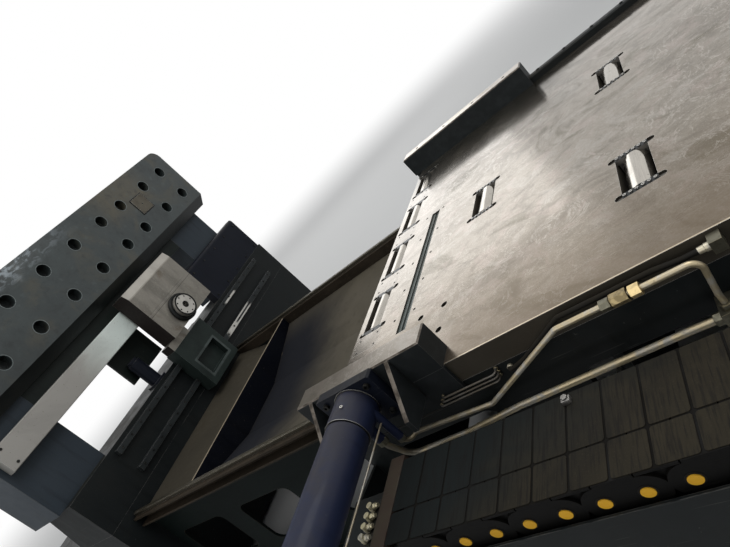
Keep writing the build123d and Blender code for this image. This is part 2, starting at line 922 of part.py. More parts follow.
def trough_side(rail_y, open_side):
    """A channel along the trough on a windowed side plate that stands on the floor."""
    web_y = rail_y if open_side < 0 else rail_y + trough_rail_width - side_sheet
    with BuildPart() as side:
        with Locations((trough_left, web_y, pad_height)):
            Box(trough_length, side_sheet, rail_top - pad_height, align=CORNER)
        for flange_z in (pad_height, rail_bottom, rail_top - trough_flange):
            with Locations((trough_left, rail_y, flange_z)):
                Box(trough_length, trough_rail_width, trough_flange, align=CORNER)
        with BuildSketch(Plane.XZ.offset(-web_y)):
            with Locations((trough_left + trough_length / 2, rail_bottom / 2 + pad_height / 2)):
                with GridLocations(trough_length / 3, 0, 3, 1):
                    RectangleRounded(side_window_width, side_window_height, window_radius)
        extrude(amount=-side_sheet, mode=Mode.SUBTRACT)
    return side


trough_side_near = trough_side(near_rail_y, 1)
trough_side_near.part.label = "trough_side_near"
export_step(trough_side_near.part, "parts/trough_side_near.step")

trough_side_far = trough_side(far_rail_y, -1)
trough_side_far.part.label = "trough_side_far"
export_step(trough_side_far.part, "parts/trough_side_far.step")

with BuildPart() as trough_guides:
    for rail_y in (near_rail_y, far_rail_y):
        with Locations((trough_left, rail_y + trough_rail_width / 2, rail_top)):
            Box(
                trough_length,
                guide_width,
                guide_height,
                align=(Align.MIN, Align.CENTER, Align.MIN),
            )
    chamfer(trough_guides.edges().group_by(Axis.Z)[-1].filter_by(Axis.X), 3)
trough_guides.part.label = "trough_guides"
export_step(trough_guides.part, "parts/trough_guides.step")

# Sloping chip pan: floor and two side slopes between the trough's sides
pan_left = left_x - partition_distance
pan_length = partition_distance
pan_z = top_z - pan_depth
near_inner = near_rail_y + trough_rail_width
far_inner = far_rail_y
slope_top = rail_bottom
floor_near = front_y + pan_floor_start
floor_far = front_y + pan_floor_end

with BuildPart() as chip_pan:
    with Locations((pan_left, floor_near, pan_z - sheet)):
        Box(pan_length, floor_far - floor_near, sheet, align=CORNER)
    for outer_y, inner_y in ((near_inner, floor_near), (far_inner, floor_far)):
        with BuildSketch(Plane.YZ.offset(pan_left)):
            with BuildLine():
                Polyline(
                    (outer_y, slope_top + sheet),
                    (outer_y, slope_top),
                    (inner_y, pan_z - sheet),
                    (inner_y, pan_z),
                    close=True,
                )
            make_face()
        extrude(amount=pan_length)
chip_pan.part.label = "chip_pan"
export_step(chip_pan.part, "parts/chip_pan.step")

# Cross wall at the pan's left end, and the chute that rises from it to the saw unit
with BuildPart() as trough_partition:
    with Locations((pan_left - side_sheet, near_inner, pan_z - sheet)):
        Box(side_sheet, far_inner - near_inner, pan_depth + sheet - guide_height, align=CORNER)
trough_partition.part.label = "trough_partition"
export_step(trough_partition.part, "parts/trough_partition.step")

with BuildPart() as chute_plate:
    with BuildSketch(Plane.XZ.offset(-near_inner)):
        with BuildLine():
            Polyline(
                (pan_left - side_sheet, pan_z + sheet),
                (pan_left - side_sheet, pan_z),
                (trough_left, pan_z + chute_rise),
                (trough_left, pan_z + chute_rise + sheet),
                close=True,
            )
        make_face()
    extrude(amount=-(far_inner - near_inner))
chute_plate.part.label = "chute_plate"
export_step(chute_plate.part, "parts/chute_plate.step")

# Saw unit: base and the upright front wall that carries the rails
base_front = left_x - saw_front
base_back = left_x - saw_reach
base_near = front_y + saw_side_near
base_far = front_y + rear_reach
with BuildPart() as saw_base:
    with Locations((base_back, base_near, pad_height)):
        Box(saw_reach - saw_front, base_far - base_near, saw_base_height - pad_height, align=CORNER)
saw_base.part.label = "saw_base"
export_step(saw_base.part, "parts/saw_base.step")

with BuildPart() as saw_wall:
    with BuildSketch(Plane.XZ.offset(-base_near)):
        with BuildLine():
            Polyline(
                (base_front, saw_base_height),
                (base_front, saw_wall_height),
                (base_front - saw_wall_depth, saw_wall_height),
                (base_front - saw_wall_depth - saw_wall_flare, saw_base_height),
                close=True,
            )
        make_face()
    extrude(amount=-(base_far - base_near))
saw_wall.part.label = "saw_wall"
export_step(saw_wall.part, "parts/saw_wall.step")

beam_under = top_z + beam_bottom
beam_front = base_front + beam_front_set
column_front = base_front - column_set
for name, start, length in (
    ("column_near", beam_near, column_near_length),
    ("column_far", column_far_start, column_far_length),
):
    with BuildPart() as column_piece:
        with Locations((column_front - column_depth, front_y + start, saw_wall_height)):
            Box(column_depth, length, beam_under - saw_wall_height, align=CORNER)
    column_piece.part.label = name
    export_step(column_piece.part, f"parts/{name}.step")

# Web between the columns below the beam, with a plate that hangs from it
web_back = column_front - web_depth
web_start = beam_near + column_near_length
with BuildPart() as portal_web:
    with Locations((web_back, front_y + web_start, beam_under - web_height)):
        Box(web_depth, column_far_start - web_start, web_height, align=CORNER)
    with Locations((web_back, front_y + web_plate_start, beam_under - web_plate_drop)):
        Box(
            web_plate_thickness,
            web_plate_length,
            web_plate_drop - web_height,
            align=CORNER,
        )
portal_web.part.label = "portal_web"
export_step(portal_web.part, "parts/portal_web.step")

# Clamping beam with two rows of round holes in its front face
with BuildPart() as beam:
    with BuildSketch(Plane.XZ.offset(-(front_y + beam_near))):
        with BuildLine():
            Polyline(
                (beam_front, beam_under + beam_chamfer),
                (beam_front, beam_under + beam_height),
                (beam_front - beam_depth, beam_under + beam_height),
                (beam_front - beam_depth, beam_under),
                (beam_front - beam_chamfer, beam_under),
                close=True,
            )
        make_face()
    extrude(amount=-beam_length)
    fillet(beam.edges().filter_by(Axis.X).group_by(Axis.Z)[-1], beam_corner)
    with BuildSketch(Plane.YZ.offset(beam_front)):
        for offset_y in beam_hole_offsets:
            for offset_z in (beam_hole_low, beam_hole_high):
                with Locations((front_y + beam_near + offset_y, beam_under + offset_z)):
                    Circle(beam_hole_radius)
    extrude(amount=-beam_hole_depth, mode=Mode.SUBTRACT)
beam.part.label = "beam"
export_step(beam.part, "parts/beam.step")

# Square pad on the beam's face
with BuildPart() as beam_pad:
    with BuildSketch(Plane.YZ.offset(beam_front)):
        with Locations((
            front_y + beam_pad_start + beam_pad_length / 2,
            top_z + beam_pad_low + beam_pad_height / 2,
        )):
            Rectangle(beam_pad_length, beam_pad_height)
            Circle(beam_pad_hole_radius, mode=Mode.SUBTRACT)
    extrude(amount=beam_pad_thickness)
beam_pad.part.label = "beam_pad"
export_step(beam_pad.part, "parts/beam_pad.step")

# Small upright motor on top of the front wall, behind the saddle
motor_place = (base_front - motor_set_back, front_y + motor_start)
motor_top = top_z + guide_bar_low - motor_bar_gap
motor_foot_top = saw_wall_height + motor_foot_thickness
motor_end = motor_top - motor_end_height
with BuildPart() as side_motor:
    with BuildSketch(Plane.XY.offset(saw_wall_height)):
        with Locations(motor_place):
            Rectangle(motor_foot_width, motor_foot_length)
    extrude(amount=motor_foot_thickness)
    with BuildSketch(Plane.XY.offset(motor_foot_top)):
        with Locations(motor_place):
            Circle(motor_radius)
    extrude(amount=motor_end - motor_foot_top)
    with BuildSketch(Plane.XY.offset(motor_end)):
        with Locations(motor_place):
            Circle(motor_end_radius)
    extrude(amount=motor_end_height)
side_motor.part.label = "side_motor"
export_step(side_motor.part, "parts/side_motor.step")

# Cover of the drive on the saw unit's far side, standing on the front wall
with BuildPart() as drive_cover:
    with Locations((base_front - cover_depth, front_y + cover_start, saw_wall_height)):
        Box(cover_depth, cover_length, cover_height, align=CORNER)
    fillet(drive_cover.edges().filter_by(Axis.Y).group_by(Axis.Z)[-1].sort_by(Axis.X)[-1:], cover_round)
drive_cover.part.label = "drive_cover"
export_step(drive_cover.part, "parts/drive_cover.step")

# Ground guide bar from the near column to the back of the carriage
with BuildPart() as guide_bar:
    with Locations((column_front, front_y + guide_bar_start, top_z + guide_bar_low)):
        Box(guide_bar_depth, guide_bar_length, guide_bar_height, align=CORNER)
    chamfer(guide_bar.edges().filter_by(Axis.Y), 3)
guide_bar.part.label = "guide_bar"
export_step(guide_bar.part, "parts/guide_bar.step")

# Two rails on the front wall
with BuildPart() as saw_rails:
    for height in (rail_low, rail_high):
        with Locations((base_front, front_y + rail_start, top_z + height - rail_height / 2)):
            Box(rail_depth, rail_length, rail_height, align=CORNER)
saw_rails.part.label = "saw_rails"
export_step(saw_rails.part, "parts/saw_rails.step")

# Saddle on the rails, with a rectangular window low in its face
saddle_y = front_y + saddle_start
saddle_z = top_z + saddle_bottom
with BuildPart() as saddle:
    with Locations((base_front + rail_clearance, saddle_y, saddle_z)):
        Box(saddle_depth, saddle_length, saddle_height, align=CORNER)
    for height in (rail_low, rail_high):
        with Locations((base_front, saddle_y, top_z + height)):
            Box(
                rail_depth + runner_gap,
                saddle_length,
                rail_height + 2 * runner_gap,
                align=(Align.MIN, Align.MIN, Align.CENTER),
                mode=Mode.SUBTRACT,
            )
    with BuildSketch(Plane.YZ.offset(base_front + rail_clearance + saddle_depth)):
        with Locations((saddle_y + saddle_length / 2, saddle_z + saddle_window_rise)):
            Rectangle(saddle_window_width, saddle_window_height)
    extrude(amount=-saddle_window_depth, mode=Mode.SUBTRACT)
saddle.part.label = "saddle"
export_step(saddle.part, "parts/saddle.step")

# Carriage block with a bevelled top strip and the spindle bore
carriage_back = base_front + carriage_back_gap
carriage_face = carriage_back + carriage_depth
carriage_y = front_y + carriage_start
carriage_z = top_z + carriage_bottom
spindle_y = carriage_y + spindle_offset
spindle_z = carriage_z + spindle_rise
with BuildPart() as carriage:
    with BuildSketch(Plane.XZ.offset(-carriage_y)):
        with BuildLine():
            Polyline(
                (carriage_back, carriage_z),
                (carriage_face, carriage_z),
                (carriage_face, carriage_z + carriage_height - 3 * carriage_bevel),
                (carriage_face - carriage_bevel, carriage_z + carriage_height),
                (carriage_back, carriage_z + carriage_height),
                close=True,
            )
        make_face()
    extrude(amount=-carriage_length)
    with Locations((carriage_back, saddle_y, saddle_z + saddle_height)):
        Box(
            saddle_depth - carriage_back_gap + rail_clearance,
            carriage_link_length,
            carriage_z - saddle_z - saddle_height,
            align=CORNER,
        )
    with Locations((carriage_face, carriage_y, carriage_z + carriage_groove_rise)):
        Box(
            2 * carriage_groove_depth,
            carriage_length,
            carriage_groove_width,
            align=(Align.CENTER, Align.MIN, Align.CENTER),
            mode=Mode.SUBTRACT,
        )
    with BuildSketch(Plane.YZ.offset(carriage_face)):
        with Locations((spindle_y, spindle_z)):
            Circle(spindle_bore_radius + spindle_fit)
    extrude(amount=-spindle_bore_depth, mode=Mode.SUBTRACT)
carriage.part.label = "carriage"
export_step(carriage.part, "parts/carriage.step")

# Fixed ring round the spindle, and the spindle with its flanged nose
with BuildPart() as spindle_ring:
    with BuildSketch(Plane.YZ.offset(carriage_face)):
        with Locations((spindle_y, spindle_z)):
            Circle(ring_outer_radius)
            Circle(ring_inner_radius, mode=Mode.SUBTRACT)
    extrude(amount=ring_depth)
    chamfer(spindle_ring.edges().group_by(Axis.X)[-1].sort_by(SortBy.LENGTH)[-1:], 4)
spindle_ring.part.label = "spindle_ring"
export_step(spindle_ring.part, "parts/spindle_ring.step")

nose_x = carriage_face + ring_depth + nose_gap
with BuildPart() as spindle:
    with Locations((carriage_face - spindle_bore_depth + nose_gap, spindle_y, spindle_z)):
        Cylinder(
            spindle_bore_radius,
            spindle_bore_depth + ring_depth,
            rotation=ALONG_X,
            align=(Align.CENTER, Align.CENTER, Align.MIN),
        )
    with Locations((nose_x, spindle_y, spindle_z)):
        Cylinder(
            nose_radius,
            nose_depth,
            rotation=ALONG_X,
            align=(Align.CENTER, Align.CENTER, Align.MIN),
        )
    with BuildSketch(Plane.YZ.offset(nose_x + nose_depth)):
        with Locations((spindle_y, spindle_z)):
            Circle(nose_bore_radius)
    extrude(amount=-nose_bore_depth, mode=Mode.SUBTRACT)
    with BuildSketch(Plane.YZ.offset(nose_x + nose_depth)):
        with Locations((spindle_y, spindle_z)):
            with PolarLocations(nose_hole_circle, nose_hole_count):
                Circle(nose_hole_radius)
    extrude(amount=-nose_depth / 2, mode=Mode.SUBTRACT)
spindle.part.label = "spindle"
export_step(spindle.part, "parts/spindle.step")

# Levelling pads under the bed walls, the trough's sides and the saw base
pad_rows = (
    (left_x + table_length / 2, front_y + foot_width / 2, table_length / 5, 5),
    (left_x + table_length / 2, rear_y - foot_width / 2, table_length / 5, 5),
    (left_x - saw_front - (saw_reach - saw_front) / 2, base_near + 150, 600, 2),
    (left_x - saw_front - (saw_reach - saw_front) / 2, (base_near + base_far) / 2, 600, 2),
    (left_x - saw_front - (saw_reach - saw_front) / 2, base_far - 150, 600, 2),
)
with BuildPart() as levelling_pads:
    for pad_x, pad_y, pitch, count in pad_rows:
        with BuildSketch():
            with Locations((pad_x, pad_y)):
                with GridLocations(pitch, 0, count, 1):
                    Circle(pad_radius)
        extrude(amount=pad_height)
    for rail_y in (near_rail_y, far_rail_y):
        with BuildSketch():
            with Locations((left_x - trough_length / 2, rail_y + trough_rail_width / 2)):
                with GridLocations(trough_length * 0.75, 0, 2, 1):
                    Circle(trough_rail_width / 2)
        extrude(amount=pad_height)
levelling_pads.part.label = "levelling_pads"
export_step(levelling_pads.part, "parts/levelling_pads.step")
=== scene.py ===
"""Looks for the plate sawing and milling machine: finishes, fasteners, stage and camera.

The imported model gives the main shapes. Each operator below adds one group of pieces to it,
or gives its nodes their finishes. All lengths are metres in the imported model's own frame.
"""
import math

import bmesh
import bpy
from mathutils import Matrix, Vector


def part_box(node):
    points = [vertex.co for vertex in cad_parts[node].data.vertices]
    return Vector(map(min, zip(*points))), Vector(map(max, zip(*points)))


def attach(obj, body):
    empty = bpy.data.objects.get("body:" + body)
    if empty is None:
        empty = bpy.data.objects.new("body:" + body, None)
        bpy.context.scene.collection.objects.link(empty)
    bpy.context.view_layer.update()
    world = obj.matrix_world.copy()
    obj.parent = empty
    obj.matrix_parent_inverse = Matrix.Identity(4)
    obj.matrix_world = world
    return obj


bl_info = {
    "name": "Plate sawing and milling machine",
    "version": (1, 0, 0),
    "blender": (4, 5, 0),
    "location": "View3D > Sidebar > Machine",
    "description": "Builds the finishes and small pieces of a plate sawing and milling machine",
    "category": "Object",
}

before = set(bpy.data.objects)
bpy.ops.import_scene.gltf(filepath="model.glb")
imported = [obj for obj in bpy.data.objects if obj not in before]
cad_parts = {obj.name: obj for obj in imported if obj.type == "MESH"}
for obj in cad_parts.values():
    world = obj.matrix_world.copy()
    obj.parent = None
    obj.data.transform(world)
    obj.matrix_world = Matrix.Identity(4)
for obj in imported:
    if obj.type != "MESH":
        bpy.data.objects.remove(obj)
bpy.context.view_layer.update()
TABLE_LOW, TABLE_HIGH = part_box("table_plate")
MM = 0.001
UP = Vector((0, 0, 1))
FACING_TABLE = Vector((1, 0, 0))
FACING_FRONT = Vector((0, -1, 0))


def spot(x, y, z=0):
    """A point given in millimetres from the table's near left top corner."""
    return Vector((TABLE_LOW.x + x * MM, TABLE_LOW.y + y * MM, TABLE_HIGH.z + z * MM))


# Settings


def length(name, description, value):
    """A size in metres for a property group."""
    return bpy.props.FloatProperty(
        name=name, description=description, default=value, min=0.0, unit="LENGTH", precision=4
    )


def colour(name, description, value):
    """A linear colour for a property group."""
    return bpy.props.FloatVectorProperty(
        name=name, description=description, default=value, min=0.0, max=1.0, size=3, subtype="COLOR"
    )


def power(name, description, value):
    """The power of a lamp in watts."""
    return bpy.props.FloatProperty(name=name, description=description, default=value, min=0.0, unit="POWER")


def share(name, description, value):
    """A factor from 0 to 1 for a property group."""
    return bpy.props.FloatProperty(
        name=name, description=description, default=value, min=0.0, max=1.0, subtype="FACTOR"
    )


class MachineFinishSettings(bpy.types.PropertyGroup):
    """Colours and wear of the machine's finishes."""

    table_colour: colour("Table steel", "Ground steel of the table", (0.335, 0.298, 0.247))
    table_stain: colour("Table stain", "Oil and rust film on the table", (0.115, 0.092, 0.066))
    table_rub: colour("Rubbed steel", "Places on the table that are rubbed clean", (0.45, 0.418, 0.375))
    bright_colour: colour("Bright steel", "Polished rollers and guides", (0.56, 0.54, 0.5))
    carriage_colour: colour("Carriage steel", "Front of the spindle carriage", (0.25, 0.235, 0.205))
    rust_colour: colour("Rust", "Rusty sides and brown primer", (0.034, 0.022, 0.018))
    dark_colour: colour("Dark steel", "Blackened blocks and screws", (0.0105, 0.012, 0.0125))
    saddle_colour: colour("Saddle paint", "Green black paint of the saddle", (0.018, 0.026, 0.0235))
    beam_colour: colour("Beam paint", "Enamel of the beam and columns", (0.034, 0.043, 0.043))
    body_colour: colour("Body paint", "Paint of the bed and saw base", (0.0075, 0.0095, 0.01))
    navy_colour: colour("Navy paint", "Paint of the flange and cover", (0.006, 0.0078, 0.0135))
    blue_colour: colour("Cylinder paint", "Paint of the cylinder barrel", (0.013, 0.018, 0.043))
    chain_colour: colour("Chain plastic", "Plastic of the drag chain", (0.0065, 0.006, 0.0055))
    pin_colour: colour("Pin plastic", "Link pins of the drag chain", (0.8, 0.43, 0.03))
    zinc_colour: colour("Zinc plating", "Plated tubes and nuts", (0.46, 0.385, 0.25))
    pan_colour: colour("Pan paint", "Dusty paint of the chip pan", (0.1, 0.088, 0.066))
    dust_colour: colour("Dust", "Workshop dust on level faces", (0.07, 0.06, 0.042))
    wear: share("Wear", "How far paint is worn from edges", 0.6)


class MachineFastenerSettings(bpy.types.PropertyGroup):
    """Sizes of screws and bolts."""

    cap_radius: length("Cap screw radius", "Radius of a bearing screw's head", 0.0048)
    cap_height: length("Cap screw height", "Height of a bearing screw's head", 0.0035)
    rail_cap_radius: length("Rail screw radius", "Radius of a rail screw's head", 0.0065)
    flange_cap_radius: length("Flange screw radius", "Radius of a flange screw's head", 0.0095)
    tube_nut_flats: length("Tube nut width", "Width across flats of a nut on the tubes", 0.024)
    stud_flats: length("Levelling nut width", "Width across flats of a levelling nut", 0.046)


class MachineStageSettings(bpy.types.PropertyGroup):
    """Floor, lamps and camera."""

    floor_colour: colour("Floor", "Colour of the plain floor", (0.74, 0.74, 0.73))
    key_power: power("Key lamp", "Power of the large lamp behind the table", 60.0)
    top_power: power("Top lamp", "Power of the soft lamp overhead", 110.0)
    fill_power: power("Fill lamp", "Power of the soft lamp at the front", 40.0)
    ambient: bpy.props.FloatProperty(
        name="Ambient", description="Strength of the light from all round", default=0.3, min=0.0
    )
    focal_length: bpy.props.FloatProperty(
        name="Focal length", description="Lens of the camera in millimetres", default=28.35, min=1.0
    )


# Node trees, with their maths written as Python expressions


class Wire:
    """An output of a node that takes part in ordinary arithmetic."""

    def __init__(self, home, socket):
        self.home = home
        self.socket = socket

    def maths(self, operation, *values):
        """The output of a Math node on some numbers."""
        return self.home.wire("ShaderNodeMath", {"operation": operation}, dict(enumerate(values)))

    def __add__(self, other):
        return self.maths("ADD", self, other)

    __radd__ = __add__

    def __mul__(self, other):
        return self.maths("MULTIPLY", self, other)

    __rmul__ = __mul__

    def __sub__(self, other):
        return self.maths("SUBTRACT", self, other)

    def __rsub__(self, other):
        return self.maths("SUBTRACT", other, self)

    def most(self, other):
        """The larger of two numbers."""
        return self.maths("MAXIMUM", self, other)

    def least(self, other):
        """The smaller of two numbers."""
        return self.maths("MINIMUM", self, other)

    def size(self):
        """The number without its sign."""
        return self.maths("ABSOLUTE", self)

    def band(self, low, high):
        """0 below low, 1 above high and a smooth step between them."""
        values = {"Value": self, "From Min": low, "From Max": high}
        return self.home.wire("ShaderNodeMapRange", {"interpolation_type": "SMOOTHSTEP"}, values)


class Tree:
    """A node tree whose nodes are all made by one method."""

    def node(self, kind, settings=None, values=None):
        """A node with its settings made first, and then its values or links."""
        made = self.tree.nodes.new(kind)
        for key, value in (settings or {}).items():
            setattr(made, key, value)
        for key, value in (values or {}).items():
            if isinstance(value, Wire):
                self.tree.links.new(value.socket, made.inputs[key])
            else:
                made.inputs[key].default_value = value
        return made

    def wire(self, kind, settings=None, values=None, output=0):
        """One output of a new node."""
        return Wire(self, self.node(kind, settings, values).outputs[output])


class Board(Tree):
    """The node tree of one material, or of the world."""

    def __init__(self, name, world=None):
        self.owner = world or bpy.data.materials.new(name)
        self.owner.use_nodes = True
        self.tree = self.owner.node_tree
        self.tree.nodes.clear()

    def point(self, stretch=(1, 1, 1), turn=(0, 0, 0)):
        """The place on the object, stretched and turned for a pattern."""
        place = self.wire("ShaderNodeTexCoord", output="Object")
        if stretch == (1, 1, 1) and turn == (0, 0, 0):
            return place
        values = {"Vector": place, "Scale": stretch, "Rotation": turn}
        return self.wire("ShaderNodeMapping", {"vector_type": "POINT"}, values)

    def noise(self, size, place=None, detail=3.0, roughness=0.55, distortion=0.0):
        """Cloudy noise whose features are about as large as size."""
        values = {
            "Vector": place or self.point(),
            "Scale": 1 / size,
            "Detail": detail,
            "Roughness": roughness,
            "Distortion": distortion,
        }
        return self.wire("ShaderNodeTexNoise", {"noise_dimensions": "3D"}, values)

    def upward(self):
        """How far a face points up, from 0 to 1."""
        return self.facing("Z").most(0.0)

    def axis(self, letter):
        """One coordinate of the place on the object."""
        return self.wire("ShaderNodeSeparateXYZ", values={"Vector": self.point()}, output=letter)

    def past(self, letter):
        """Metres past the table's near left top corner along an axis."""
        return self.axis(letter) - {"X": TABLE_LOW.x, "Y": TABLE_LOW.y, "Z": TABLE_HIGH.z}[letter]

    def facing(self, letter):
        """How far a face points along an axis of the object, from -1 to 1."""
        normal = self.wire("ShaderNodeTexCoord", output="Normal")
        return self.wire("ShaderNodeSeparateXYZ", values={"Vector": normal}, output=letter)

    def edges(self, radius):
        """1 on the object's edges and 0 on its flat faces."""
        rounded = self.wire("ShaderNodeBevel", {"samples": 4}, {"Radius": radius})
        plain = self.wire("ShaderNodeNewGeometry", output="Normal")
        values = {0: rounded, 1: plain}
        match = self.wire("ShaderNodeVectorMath", {"operation": "DOT_PRODUCT"}, values, output="Value")
        return (1.0 - match).band(0.01, 0.16)

    def corners(self, distance):
        """1 deep in corners and 0 in the open, from ambient occlusion; the finishes darken corners with it as
        painted shade.
        """
        settings = {"samples": 6, "only_local": False}
        open_sky = self.wire("ShaderNodeAmbientOcclusion", settings, {"Distance": distance}, output="AO")
        return (1.0 - open_sky).band(0.15, 0.85)

    def mix(self, factor, first, second):
        """A colour between two colours."""
        first, second = (c if isinstance(c, Wire) else (*c, 1.0) for c in (first, second))
        values = {0: factor, 6: first, 7: second}
        return self.wire("ShaderNodeMix", {"data_type": "RGBA", "blend_type": "MIX"}, values, output=2)

    def layers(self, tone, *coats):
        """A colour under coats of other colours, each with its own mask, the last one on top."""
        for mask, coat in coats:
            tone = self.mix(mask, tone, coat)
        return tone

    def relief(self, height, depth, rounding):
        """A normal from a height, over faces whose edges are rounded."""
        soft = self.wire("ShaderNodeBevel", {"samples": 4}, {"Radius": rounding})
        values = {"Height": height, "Distance": depth, "Strength": 1.0, "Normal": soft}
        return self.wire("ShaderNodeBump", {}, values)

    def finish(self, values):
        """The shader of the material, with its sockets by name."""
        shader = self.wire("ShaderNodeBsdfPrincipled", {}, values)
        self.node("ShaderNodeOutputMaterial", {}, {"Surface": shader})
        return self.owner


def shade(base, factor):
    """A colour made lighter or darker."""
    return tuple(min(1.0, part * factor) for part in base)


# Finishes

FINISHES = {}

# Tones that wear, oil and dirt leave, and tones of painted light, as linear colours: the lit edge, shaded
# steel, the bar's reflection, the beam's highlight and the lids' shade are painted light, and the grime tones
# darken corners as grime and painted shade
BARE_EDGE = (0.6, 0.585, 0.55)
LIT_EDGE = (0.6, 0.5, 0.36)
CHIPPED_EDGE = (0.3, 0.29, 0.27)
CARRIAGE_EDGE = (0.4, 0.385, 0.36)
PALE_EDGE = (0.7, 0.7, 0.66)
POLISHED_EDGE = (0.86, 0.85, 0.82)
ENAMEL_EDGE = (0.2, 0.2, 0.19)
ZINC_EDGE = (0.75, 0.72, 0.64)
SHADED_STEEL = (0.052, 0.05, 0.038)
PAINTED_BAR_REFLECTION = (0.86, 0.95, 0.9)
OLD_OIL = (0.11, 0.078, 0.05)
OIL_SPOT = (0.12, 0.1, 0.07)
NICK = (0.16, 0.14, 0.11)
BEAM_HIGHLIGHT = (0.42, 0.48, 0.52)
DULL_ZINC = (0.44, 0.42, 0.37)
YELLOW_ZINC = (0.6, 0.5, 0.3)
ZINC_SPOT = (0.2, 0.15, 0.09)
ZINC_GRIME_AND_SHADE = (0.08, 0.065, 0.045)
FITTING_GRIME_AND_SHADE = (0.05, 0.042, 0.03)
BAR_GRIME_AND_SHADE = (0.05, 0.05, 0.045)
STEEL_GRIME_AND_SHADE = (0.06, 0.055, 0.05)
LIGHT_RUST = (0.15, 0.13, 0.11)
DEEP_RUST = (0.05, 0.042, 0.034)
SHADED_LID = (0.0065, 0.0085, 0.0085)

# How a pattern is stretched: fine marks run along the axis with the small share
EVEN = (1, 1, 1)
ALONG_X = (0.03, 1, 1)
ALONG_Y = (1, 0.03, 1)
BROADLY_ALONG_Y = (1, 0.05, 1)

# Heights in metres above the table's top
BEAM_FOOT = 0.735
LOWER_RAIL = 0.09
UPPER_RAIL = 0.217
CARRIAGE_GROOVE = 0.518
WINDOW_HEIGHT = 0.116
# How far past the table's near edge the saddle's window has its middle
WINDOW_MIDDLE = 0.985


def steel_patina(b, base, stain, rub):
    """The tone, film and height of ground steel that is handled, oiled and scratched."""
    cloud = b.noise(0.7, detail=5.0, roughness=0.6, distortion=0.8)
    smear = b.noise(0.15, b.point((0.7, 1, 1), (0, 0, 0.22)), detail=5.0, roughness=0.58, distortion=1.6)
    blot = b.noise(0.3, b.point((0.7, 1, 1), (0, 0, 0.5)), detail=5.0, roughness=0.62, distortion=1.6)
    hand = b.noise(0.045, b.point((0.5, 1, 1), (0, 0, -0.4)), detail=5.0, roughness=0.6, distortion=0.8)
    grain = b.noise(0.004, b.point((0.03, 1, 1)), detail=2.0)
    grit = b.noise(0.0055, detail=3.0, roughness=0.7)
    tint = b.noise(0.09, detail=4.0, roughness=0.6, distortion=0.8)
    scratch_one = b.noise(0.0022, b.point((0.012, 1, 1), (0, 0, 0.35)), detail=1.0).band(0.70, 0.76)
    scratch_two = b.noise(0.0022, b.point((0.014, 1, 1), (0, 0, -0.9)), detail=1.0).band(0.71, 0.77)
    scratches = scratch_one.most(scratch_two) * b.noise(0.3, detail=2.0).band(0.42, 0.6)
    specks = b.noise(0.0065, detail=2.0).band(0.70, 0.75) * cloud.band(0.36, 0.58)
    mottle = b.noise(0.028, detail=6.0, roughness=0.66, distortion=0.6)
    rims = b.noise(0.16, detail=6.0, roughness=0.7, distortion=0.9)
    rims = (rims - 0.5).size().band(0.014, 0.003) * cloud.band(0.38, 0.55)
    film = cloud.band(0.42, 0.7) * 0.42 + blot.band(0.5, 0.68) * 0.4 + hand.band(0.54, 0.72) * 0.22
    tone = b.layers(
        base,
        (film.least(1.0), stain),
        (blot.band(0.53, 0.62) * 0.6, (stain[0] * 0.95, stain[1], stain[2] * 0.75)),
        (smear.band(0.53, 0.6) * 0.4, rub),
        (mottle.band(0.52, 0.7) * 0.25, shade(stain, 1.05)),
        (mottle.band(0.46, 0.32) * 0.2, shade(rub, 1.15)),
        (rims * 0.6, shade(rub, 1.3)),
        (tint.band(0.52, 0.64) * 0.28, (rub[0], rub[1] * 0.86, rub[2] * 0.86)),
        (tint.band(0.46, 0.36) * 0.28, (stain[0] * 1.2, stain[1] * 1.3, stain[2] * 1.4)),
        (grit.band(0.52, 0.66) * 0.4, shade(stain, 1.5)),
        (grit.band(0.46, 0.34) * 0.35, shade(rub, 1.15)),
        (smear.band(0.47, 0.33) * 0.4, shade(stain, 0.8)),
        ((grain - 0.5).size() * 0.5, shade(base, 0.5)),
        (specks * 0.7, shade(stain, 0.45)),
        (scratches * 0.45, shade(rub, 1.15)),
    )
    height = grain * 0.16 + mottle * 0.5 + hand * 0.3 - scratches * 0.6 - specks * 0.5
    return tone, film, height


